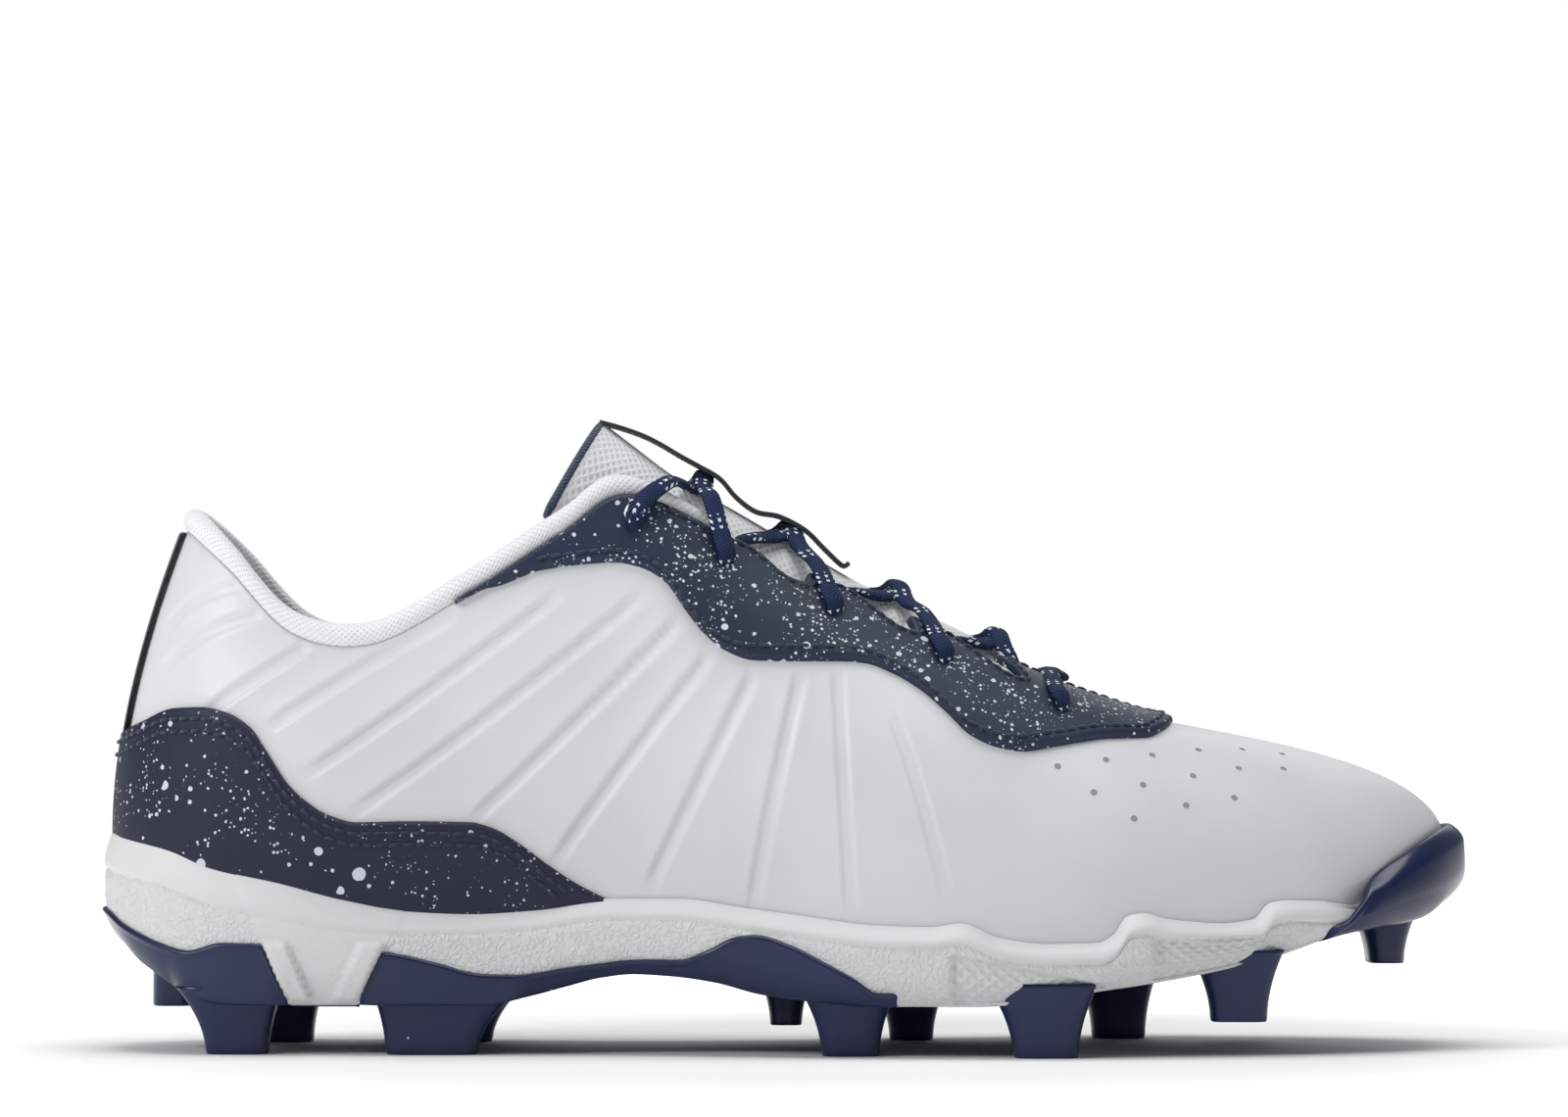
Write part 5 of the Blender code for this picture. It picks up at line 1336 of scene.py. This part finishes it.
class TongueForm:
    """The tongue's arch as a function of row and turn."""

    def __init__(self, last: Last) -> None:
        """Keeps the rows and the throat's middle line."""
        self.rows = np.array(TONGUE_ROWS)
        self.last = last
        self.order = np.argsort(last.rows[:, 3])

    def value(self, row: float) -> tuple:
        """Crest, wing, half width and thickness at a place between rows."""
        place = min(max(row, 0.0), len(self.rows) - 1.0)
        cell = min(int(place), len(self.rows) - 2)
        near = (self.rows[min(max(cell + step, 0), len(self.rows) - 1)] for step in (-1, 0, 1, 2))
        mixed = through(*near, place - cell)
        crest = np.array([mixed[0] * HALF_LENGTH, high_height(mixed[1])])
        wing = np.array([mixed[2] * HALF_LENGTH, high_height(mixed[4])])
        return crest, wing, mixed[3] * BALL_WIDTH, mixed[5] * TONGUE

    def middle(self, x: float) -> float:
        """Width place of the throat's middle line."""
        lengths = self.last.rows[self.order, 3] * HALF_LENGTH
        return float(np.interp(x, lengths, self.last.middle[self.order]))

    def point(self, row: float, turn: float, depth: float = 0.0) -> Array:
        """Point of the tongue at a row and an arch turn from -1 to 1, at a depth under its face."""
        crest, wing, half, _ = self.value(row)
        angle = turn * math.pi / 2
        drop = (wing - crest) * (1.0 - math.cos(angle))
        across = self.middle(crest[0]) + half * math.sin(angle)
        face = np.array([crest[0] + drop[0], across, crest[1] + drop[1]])
        return face - self.normal(row, turn) * depth

    def normal(self, row: float, turn: float) -> Array:
        """Direction out of the tongue's face."""
        crest, wing, half, _ = self.value(row)
        angle = turn * math.pi / 2
        span = float(np.linalg.norm(wing - crest))
        down = (wing - crest) / span
        rise = math.cos(angle) * half
        return unit(np.array([-down[0] * rise, math.sin(angle) * span, -down[1] * rise]))

    def row_at(self, x: float) -> float:
        """Row whose crest lies at a length."""
        rows = np.linspace(0, len(self.rows) - 1, 200)
        crest = np.array([self.value(row)[0][0] for row in rows])
        return float(np.interp(-x, -crest, rows))


@dataclass
class Tongue:
    """Padded knitted tongue with its binding and the keeper strap."""

    form: TongueForm
    palette: Palette
    rows: int = 120
    across: int = 49
    tape: tuple[float, float] = (2.2 * MM, 6.2 * MM)
    tape_start: float = 5.5
    tape_depth: float = 0.30
    side_tape: float = 0.75
    strap_width: float = 11 * MM
    strap_thick: float = 1.0 * MM

    def build(self) -> None:
        """Tongue, binding and strap."""
        rows = np.linspace(0.0, len(TONGUE_ROWS) - 1, self.rows)
        turns = np.linspace(-1.0, 1.0, self.across)
        outer = np.array([[self.form.point(row, turn) for turn in turns] for row in rows])
        inner = np.array([[self.form.point(row, turn, self.form.value(row)[3] * (1 - 0.5 * turn**6))
                           for turn in turns] for row in rows])
        loop = np.concatenate([outer, inner[:, ::-1]], axis=1)
        tongue = grid_object("tongue_pad", loop, closed=True)
        dress(tongue, self.palette.knit, "tongue", "tongue")
        self.build_binding(rows, turns)
        self.build_strap()

    def build_binding(self, rows: Array, turns: Array) -> None:
        """Tape folded round the tongue's sides and top."""
        top = rows[-1]
        back = [(row, TONGUE * self.tape_depth, self.side_tape) for row in rows if row > self.tape_start]
        spots = [(row, -1.0, depth, thick) for row, depth, thick in back]
        crest = self.form.value(top)[3] * 0.5
        spots += [(top, turn, crest * (1 - 0.3 * turn**6), 1.0) for turn in turns[1:-1]]
        spots += [(row, 1.0, depth, thick) for row, depth, thick in reversed(back)]
        form = self.form
        path = [np.concatenate([form.point(row, turn, depth), form.normal(row, turn), [thick]])
                for row, turn, depth, thick in spots]
        line = evenly(np.array(path), 260)
        section = oval(*self.tape, 16, 2.6)
        binding = tube_object("tongue_binding", line[:, :3], line[:, 3:6], section, line[:, 6])
        dress(binding, self.palette.binding, "tongue")

    def build_strap(self) -> None:
        """Keeper strap from the tongue's top over two crossings of the lace."""
        path = np.array([(x * MM, self.form.middle(x * MM), z * MM) for x, z in STRAP_LINE])
        line = spline(path, 110)
        ahead = unit(np.gradient(line, axis=0))
        ups = np.column_stack([-ahead[:, 2], np.zeros(len(line)), ahead[:, 0]])
        section = oval(self.strap_width, self.strap_thick, 28, 5.0)
        strap = tube_object("tongue_strap_tape", line, ups, section)
        dress(strap, self.palette.webbing, "tongue_strap", "tongue_strap")


@dataclass
class Lacing:
    """Lace through the eyelets: one bar at the front and four crossings, each of two runs."""

    last: Last
    form: TongueForm
    overlays: Overlays
    palette: Palette
    seat: float = OVERLAY_SEAT + OVERLAY + LACE_THICK / 2
    lay: float = LACE_THICK / 2 + 0.5 * MM
    bar_lift: float = LACE_THICK / 2 + 1.4 * MM
    rise: float = LACE_THICK * 1.1

    def beside_eyelet(self, count: int, side: Side, rise: float, lift: float) -> tuple:
        """Point and normal over the eyestay beside an eyelet.

        Args:
            count: the eyelet's number from the collar.
            side: the side of the shoe.
            rise: distance from the eyelet towards the throat.
            lift: distance out of the upper's face.

        Returns:
            The point and the direction out of the face.
        """
        place, share, up, out = self.overlays.eyelet(count, side)
        return self.last.offset(place, share, np.array(lift)) + up * rise, out

    def on_tongue(self, x: float, turn: float, lift: float) -> tuple:
        """Point and normal over the tongue."""
        row = self.form.row_at(x * HALF_LENGTH)
        return self.form.point(row, turn, -lift), self.form.normal(row, turn)

    def edge(self, x: float, side: Side) -> tuple:
        """Point of the throat's edge at a length share, and the directions out of the face and up."""
        place, full = np.array(self.overlays.edge_place(x, side)), np.array(1.0)
        spot = self.last.point(place, full)
        return spot, self.last.normal(place, full), unit(spot - self.last.point(place, np.array(0.96)))

    def over_edge(self, count: int, side: Side) -> tuple:
        """Point and direction where the lace bends over the throat's edge or the collar's roll."""
        spot, out, up = self.edge(EYELETS[count], side)
        roll, tilt = (COLLAR_ROLL, 0.6) if count < 2 else (0.0, 0.3)
        reach = roll + self.seat + 0.4 * MM - (1.4 * MM if count == 0 else 0.0)
        lean = unit(out + up * tilt)
        return spot + up * roll + lean * reach, lean

    def leg(self, count: int, side: Side) -> list:
        """Lace from inside an eyelet over the eyestay to the throat's edge."""
        spots = ((-2.2 * MM, -1.2 * MM), (-0.8 * MM, self.seat - 0.1 * MM), (1.8 * MM, self.seat + 0.9 * MM))
        return [self.beside_eyelet(count, side, *spot) for spot in spots] + [self.over_edge(count, side)]

    def dive(self, x: float, side: Side) -> list:
        """Lace that goes under the throat's edge at a length share."""
        spot, out, up = self.edge(x, side)
        return [(spot + up * 2.2 * MM - out * 0.4 * MM, unit(out + up * 0.6)),
                (spot - up * 3.0 * MM - out * (UPPER_WALL + LACE_THICK * 0.7), out)]

    def run(self, count: int, side: Side) -> list:
        """One run of lace over the tongue; the lateral one passes over the other.

        Args:
            count: the crossing's number from the toe.
            side: the side that the run comes from.

        Returns:
            Points and directions of the run.
        """
        fore, aft = CROSSINGS[count]
        rise = self.rise if side is Side.LATERAL else 0.0
        points = self.dive(fore, side)[::-1] if count == 0 else self.leg(4 - count, side)
        for share, hump in ((0.36, 0.55), (0.5, 1.0), (0.64, 0.55)):
            turn = side * 0.9 * (1 - 2 * share)
            points.append(self.on_tongue(fore + (aft - fore) * share, turn, self.lay + rise * hump))
        return points + (self.leg(0, side.other)[::-1] if count == 3 else self.dive(aft, side.other))

    def ribbon(self, points: list) -> tuple:
        """Swept lace along points with their directions."""
        line = spline(np.array([np.concatenate(point) for point in points]), 96)
        return sweep(line[:, :3], unit(line[:, 3:]), oval(LACE_WIDTH, LACE_THICK, 20, 2.4))

    def build(self) -> None:
        """Front bar and crossings."""
        ends = [self.leg(4, side) for side in Side]
        points = ends[0] + [self.on_tongue(FRONT_BAR, 0.0, self.bar_lift)] + ends[1][::-1]
        dress(joined("lace_bar_front", [self.ribbon(points)]), self.palette.lace, "lace", "lace_front_bar")
        for count in range(len(CROSSINGS)):
            runs = [self.ribbon(self.run(count, side)) for side in Side]
            pair = joined(f"lace_pair_{count + 1}", runs)
            dress(pair, self.palette.lace, "lace", f"lace_crossing_{count + 1}")


@dataclass
class Sole:
    """Foam midsole with its keystones and pockets, rubber outsole with its studs, and the insole."""

    last: Last
    palette: Palette
    columns: int = 1000
    rim_band: float = 4.2 * MM
    rim_spread: float = 4.0 * MM
    rim_edge: float = 0.7 * MM
    rib_height: float = 1.7 * MM
    crease_depth: float = 0.45 * MM
    bumper_tuck: float = 1.5 * MM
    stud_sides: int = 56
    stud_square: float = 3.6
    pocket_rows: tuple = ((35.0, 71.0, 22.6, 15.6), (79.0, 112.0, 25.6, 26.4))
    pocket_floor: float = 0.5
    pocket_depth: float = 1.1 * MM
    bead: float = 1.3 * MM
    places: Array = field(init=False)

    def __post_init__(self) -> None:
        """Places round the ring."""
        self.places = np.linspace(0.0, 2 * self.last.rays, self.columns, endpoint=False)

    def plan_x(self, places: Array) -> Array:
        """Length place of the sole's outline."""
        return (self.last.feather(places) + self.last.outward(places) * WELT)[:, 0]

    def stud_mask(self, places: Array) -> Array:
        """1 where one of the four studs under the heel and the waist stands at the side, else 0."""
        x = self.plan_x(places)
        side = np.where(places < self.last.rays, -1.0, 1.0)
        mask = np.zeros(len(places))
        for _, centre, y, length, _, _, fore, aft, _, _ in STUDS[:4]:
            middle = centre * HALF_LENGTH + STUD_DROP * (fore - aft) / 2
            half = STUD_DROP * (length + fore + aft) / 2
            window = 1 - smooth_step(half - 3 * MM, half + 3 * MM, np.abs(x - middle))
            mask = np.maximum(mask, window * (side * y > 0))
        return mask

    @staticmethod
    def between(first: Array, last: Array, x: Array, soft: float) -> Array:
        """1 between two lengths, 0 outside them, with soft ends."""
        return smooth_step(-soft, soft, x - first) * smooth_step(-soft, soft, last - x)

    def key_mask(self, x: Array) -> Array:
        """1 where the foam comes down to the underside between the heel studs."""
        return self.between(KEY_FOOT[0] * HALF_LENGTH, KEY_FOOT[1] * HALF_LENGTH, x, 0.5 * MM)

    def side_offset(self, places: Array, height: Array) -> Array:
        """Distance from the feather edge to the sole's side at a height."""
        x = self.plan_x(places)
        low = underside(x)
        share = (height - low) / (side_top(x) - low)
        held = 1 - 0.85 * self.stud_mask(places)
        tuck = SIDE_TUCK * np.clip(1.0 - share / 0.42, 0.0, 1.0) ** 2 * held
        turn = SIDE_ROUND * np.clip((share - 0.80) / 0.20, 0.0, 1.5) ** 2
        return WELT - tuck - turn

    def ring(self, places: Array, reach: Array, height: Array) -> Array:
        """Ring at distances from the feather edge and at heights."""
        plan = self.last.feather(places) + self.last.outward(places) * reach[:, None]
        return np.column_stack([plan, height])

    def upper_reach(self, places: Array, height: Array) -> Array:
        """Distance from the feather edge to the upper's outer face at a height."""
        share = self.last.share_where(places, lambda points: points[:, 2] < height)
        wall = self.last.point(places, share)[:, :2] - self.last.feather(places)
        return (wall * self.last.outward(places)).sum(axis=1)

    @staticmethod
    def key_flanks(height: Array) -> tuple:
        """Height share of the keystone, and the lengths of its two flanks there."""
        share = (height - base_height(0.0)) / (KEY_HEIGHT * SOLE_RISE)
        return share, *((foot + (top - foot) * share) * HALF_LENGTH for foot, top in zip(KEY_FOOT, KEY_TOP))

    def keystone(self, x: Array, height: Array) -> Array:
        """1 inside the keystone seen from the side, 0 outside it."""
        _, first, last = self.key_flanks(height)
        return self.between(first, last, x, 0.3 * MM)

    def ribs(self, x: Array, height: Array) -> Array:
        """1 on the two ribs along the keystone's flanks."""
        share, first, last = self.key_flanks(height)
        inside = smooth_step(0.02, 0.08, share) * (1 - smooth_step(0.93, 1.0, share))
        ribs = [smooth_step(0.2 * MM, 0.7 * MM, gap) * (1 - smooth_step(5.3 * MM, 5.8 * MM, gap))
                for gap in (x - first, last - x)]
        return np.maximum(*ribs) * inside

    def pockets(self, x: Array, height: Array) -> Array:
        """1 inside the textured pockets of the forefoot's side."""
        x_mm, z_mm = x / MM, height / MM
        low = underside(x) / MM + self.pocket_floor
        total = np.zeros(x.shape)
        for first, last, top_first, top_last in self.pocket_rows:
            share = np.clip((x_mm - first) / (last - first), 0.0, 1.0)
            top = top_first + (top_last - top_first) * share
            inside = (smooth_step(0.0, 1.2, x_mm - first) * smooth_step(0.0, 2.5, last - x_mm)
                      * smooth_step(0.0, 0.7, top - z_mm) * smooth_step(0.0, 0.5, z_mm - low))
            total = np.maximum(total, inside)
        return total

    def build_foam(self) -> None:
        """Foam from its inner rim over the side to the underside."""
        places = self.places
        x = self.plan_x(places)
        rim = side_top(x)
        bumper = smooth_step(11.9, 12.4, self.last.lateral(places))
        rim = rim - bumper * 4.0 * MM
        inner = self.upper_reach(places, rim) + 0.1 * MM
        low = underside(x)
        still = np.zeros(len(places))
        rows = [self.ring(places, self.upper_reach(places, rim - 3 * MM), rim - 3 * MM)]
        for out, rise in ((0.0, -0.2 * MM), (0.45 * MM, 0.15 * MM), (1.1 * MM, 0.05 * MM)):
            rows.append(self.ring(places, inner + out, rim + rise))
        crinkles, pockets = [still] * len(rows), [still] * len(rows)
        edge = rim - self.rim_edge
        edge_reach = inner + 1.75 * MM
        band_width = self.rim_band + self.rim_spread * (1 - smooth_step(-125 * MM, -60 * MM, x))
        fore = smooth_step(11 * MM, 26 * MM, x)
        for share in np.linspace(0.0, 1.0, 46):
            height = edge + (low - edge) * share
            reach = np.maximum(self.side_offset(places, height), -BALL_WIDTH)
            under = rim - height
            band = smooth_step(-0.4 * MM, 0.4 * MM, under - band_width)
            start = np.sqrt(np.clip((under - self.rim_edge) / (band_width - self.rim_edge), 0.0, 1.0))
            reach = edge_reach + (reach - edge_reach) * start
            pocket = self.pockets(x, height)
            key = self.keystone(x, height)
            crease = np.exp(-(((under - band_width) / (0.7 * MM)) ** 2)) * (1 - pocket)
            reach = reach - band * (0.30 + 0.35 * fore) * MM - pocket * self.pocket_depth
            reach = reach + self.ribs(x, height) * self.rib_height + key * 0.2 * MM
            reach = reach - crease * self.crease_depth - bumper * self.bumper_tuck
            rows.append(self.ring(places, reach, height))
            crinkles.append(band * (1 - pocket) * (1 - 0.8 * key))
            pockets.append(pocket)
        drop = 0.35 * MM * self.key_mask(x)
        for inset in (1.5 * MM, 6 * MM, 14 * MM, 22 * MM):
            rows.append(self.ring(places, self.side_offset(places, low) - inset, low + 0.02 * MM - drop))
            crinkles.append(still)
            pockets.append(still)
        foam = grid_object("midsole_foam", np.stack(rows)[::-1], closed=True)
        set_attribute(foam, "crinkle", np.stack(crinkles)[::-1])
        set_attribute(foam, "pocket", np.stack(pockets)[::-1])
        dress(foam, self.palette.foam, "midsole", "midsole")

    def wall_top(self, x: Array, ray: Array) -> Array:
        """Height of the outsole's side wall."""
        share = x / HALF_LENGTH
        plate = underside(x) + PLATE * 0.9
        rear = np.maximum(base_height(along(CUP_TOP, share)), plate)
        slopes = ((top - foot) * HALF_LENGTH / (KEY_HEIGHT * SOLE_RISE)
                  for foot, top in zip(KEY_FOOT, KEY_TOP))
        key = [base_height(0.0) + (x - foot * HALF_LENGTH) / slope for foot, slope in zip(KEY_FOOT, slopes)]
        gap = np.where(x < (KEY_FOOT[0] + KEY_FOOT[1]) / 2 * HALF_LENGTH, *key)
        rear = np.where((x > KEY_TOP[0] * HALF_LENGTH - MM) & (x < KEY_TOP[1] * HALF_LENGTH + MM),
                        np.minimum(rear, np.maximum(gap, underside(x) + 0.3 * MM)), rear)
        bumper = np.maximum(base_height(along(BUMPER_TOP, share)), plate)
        rise = smooth_step(BUMPER_START - 0.12, BUMPER_START + 0.10, ray)
        fore = plate + (bumper - plate) * rise
        fall = smooth_step(CUP_END - 0.15, CUP_END + 0.1, ray)
        return np.where(ray < 10.0, rear + (plate - rear) * fall, fore)

    def build_wall(self) -> None:
        """Outsole's side wall with the bead along its top, and the plate."""
        places = self.places
        ray = self.last.lateral(places)
        x = self.plan_x(places)
        low, top = underside(x), self.wall_top(x, ray)
        inset = PLATE_INSET * smooth_step(CUP_END, CUP_END + 0.25, ray) * (1 - smooth_step(11.7, 12.0, ray))
        inset = inset + 6 * MM * self.key_mask(x)
        bumper = smooth_step(BUMPER_START - 0.1, BUMPER_START + 0.3, ray)
        room = np.where(ray > 11.9, self.upper_reach(places, top) + 0.6 * MM, -BALL_WIDTH)
        base = self.side_offset(places, low) - inset
        rows = [self.ring(places, base - depth, low - 0.25 * MM)
                for depth in (26 * MM, 16 * MM, 7 * MM, 2 * MM)]
        rows.append(self.ring(places, base - 0.3 * MM, low - 0.2 * MM))
        for share in np.linspace(0.04, 1.0, 26):
            height = low + (top - low) * share
            under = top - height
            crown = np.exp(-((under - self.bead * 0.55) / (self.bead * 0.42)) ** 2) * (1 - bumper)
            proud = 0.5 * MM + 0.35 * MM * crown
            reach = self.side_offset(places, height) + proud - inset
            swell = bumper * 0.6 * MM * np.sin(math.pi * np.clip(share, 0, 1))
            rows.append(self.ring(places, np.maximum(reach + swell, room), height))
        crest = np.maximum(self.side_offset(places, top) + 0.5 * MM - inset, room)
        for depth, rise in ((0.5 * MM, 0.25 * MM), (1.3 * MM, 0.1 * MM), (2.4 * MM, -1.2 * MM)):
            rows.append(self.ring(places, crest - depth, top + rise))
        wall = joined("outsole_rubber", [ring_part(np.stack(rows))] + [self.stud(row) for row in STUDS])
        dress(wall, self.palette.rubber, "outsole", "outsole")

    def stud(self, row: tuple) -> tuple:
        """Tapered stud with rounded edges and a fillet up into the plate."""
        _, x, y, length, width, height, fore, aft, across, rise = row
        centre_x, centre_y = x * HALF_LENGTH, y * BALL_WIDTH / 2
        foot = height * STUD_DROP
        root = float(underside(np.array(centre_x))) + PLATE * 1.2 + rise * STUD_DROP
        corner = oval(2.0, 2.0, self.stud_sides, self.stud_square)
        levels = [(0.0, 0.0, scale) for scale in (0.0, 0.60, 0.955)]
        levels += [(0.02, 0.0, 0.985), (0.06, 0.005, 1.0)]
        levels += [(share, share**1.9, 1.0) for share in np.linspace(0.14, 1.0, 12)]
        rings = []
        for share, flare, scale in levels:
            half_x = STUD_DROP * (length / 2 + flare * (fore + aft) / 2) * scale
            half_y = STUD_DROP * (width / 2 + flare * across) * scale
            shift = STUD_DROP * flare * (fore - aft) / 2
            rings.append(np.column_stack([centre_x + shift + half_x * corner[:, 0],
                                          centre_y + half_y * corner[:, 1],
                                          np.full(self.stud_sides, foot + (root - foot) * share)]))
        lid = np.broadcast_to([centre_x, centre_y, root], rings[0].shape)
        return ring_part(np.stack(rings + [lid]))

    def build_insole(self) -> None:
        """Insole inside the upper."""
        places = np.linspace(0.0, 2 * self.last.rays, 240, endpoint=False)
        reach = -(UPPER_WALL + 0.9 * MM)
        rows = []
        for inset, rise in ((0.0, 0.0), (0.0, 0.75), (0.8 * MM, 0.97), (2.0 * MM, 1.0), (8 * MM, 1.0),
                            (16 * MM, 1.0), (24 * MM, 1.0)):
            plan = self.last.feather(places) + self.last.outward(places) * (reach - inset)
            rows.append(np.column_stack([plan, footbed(plan[:, 0]) + 0.3 * MM + INSOLE * rise]))
        middle = rows[-1].copy()
        middle[:, 1] = middle[:, 1].mean()
        insole = grid_object("insole_sheet", np.stack(rows + [middle]), closed=True)
        dress(insole, self.palette.insole, "insole", "insole")

    def build(self) -> None:
        """Foam, rubber and insole."""
        self.build_foam()
        self.build_wall()
        self.build_insole()


@dataclass(frozen=True)
class AreaLight:
    """One soft light."""

    name: str
    place: tuple[float, float, float]
    target: tuple[float, float, float]
    size: float
    power: float


@dataclass
class Studio:
    """Pale floor, soft lights and the camera of the photograph."""

    palette: Palette
    distance: float = 1.300
    eye: float = 0.070
    lens: float = 135.0
    sensor: float = 36.0
    horizon: float = 745.0
    picture: tuple[float, float] = (1600.0, 1140.0)
    ambient: float = 0.20
    lights: tuple = (
        AreaLight("key", (-0.95, -0.70, 0.75), (0.0, 0.0, 0.06), 0.35, 7.2),
        AreaLight("fill", (0.75, -1.10, 0.35), (0.0, 0.0, 0.06), 0.9, 0.6),
        AreaLight("top", (0.0, -0.05, 1.30), (0.0, 0.0, 0.05), 0.9, 11.5),
        AreaLight("back", (0.3, 1.2, 0.9), (0.0, 0.0, 0.06), 0.9, 3.0),
    )

    def build_camera(self) -> None:
        """Camera at the side of the shoe."""
        camera = bpy.data.cameras.new("camera")
        camera.lens = self.lens
        camera.sensor_width = self.sensor
        made = bpy.data.objects.new("camera", camera)
        made.location = (0.0, -self.distance, self.eye)
        pixels_to_tangent = self.sensor / self.lens / self.picture[0]
        tilt = math.atan((self.horizon - self.picture[1] / 2) * pixels_to_tangent)
        made.rotation_euler = (math.pi / 2 + tilt, 0.0, 0.0)
        bpy.context.scene.collection.objects.link(made)
        bpy.context.scene.camera = made

    def build_lights(self) -> None:
        """Soft area lights and a pale world."""
        for light in self.lights:
            lamp = bpy.data.lights.new(light.name, "AREA")
            lamp.shape = "SQUARE"
            lamp.size = light.size
            lamp.energy = light.power
            made = bpy.data.objects.new(light.name, lamp)
            made.location = light.place
            aim = np.array(light.place) - np.array(light.target)
            flat = math.hypot(aim[0], aim[1])
            made.rotation_euler = (math.atan2(flat, aim[2]), 0.0, math.atan2(aim[0], -aim[1]))
            bpy.context.scene.collection.objects.link(made)
        world = bpy.data.worlds.new("studio")
        world.use_nodes = True
        nodes = Nodes(world.node_tree)
        seen = nodes.add("ShaderNodeLightPath").outputs["Is Camera Ray"]
        strength = nodes.maths("MULTIPLY_ADD", seen, 1.0 - self.ambient, self.ambient)
        background = world.node_tree.nodes["Background"]
        nodes.feed(background, "Color", (1.0, 1.0, 1.0, 1.0))
        nodes.feed(background, "Strength", strength)
        bpy.context.scene.world = world

    def build_floor(self) -> None:
        """Floor plane that meets the world's white."""
        half = 6.0
        corners = np.array([(-half, -half, 0.0), (half, -half, 0.0), (half, half, 0.0), (-half, half, 0.0)])
        floor = mesh_object("floor", corners, [[0, 1, 2, 3]])
        floor.data.materials.append(self.palette.floor)

    def build(self) -> None:
        """Whole studio, with the plain view transform that keeps the whites of a product picture."""
        bpy.context.scene.view_settings.view_transform = "Standard"
        self.build_camera()
        self.build_lights()
        self.build_floor()


def main() -> None:
    """Builds the shoe and the studio."""
    logging.basicConfig(level=logging.INFO, format="%(name)s: %(message)s")
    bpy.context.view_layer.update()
    palette = Palette()
    last = Last()
    Studio(palette).build()
    upper = Upper(last, palette)
    upper.build()
    overlays = Overlays(last, palette, upper)
    overlays.build()
    Collar(last, palette).build()
    form = TongueForm(last)
    Tongue(form, palette).build()
    Lacing(last, form, overlays, palette).build()
    Sole(last, palette).build()


if __name__ == "__main__":
    main()
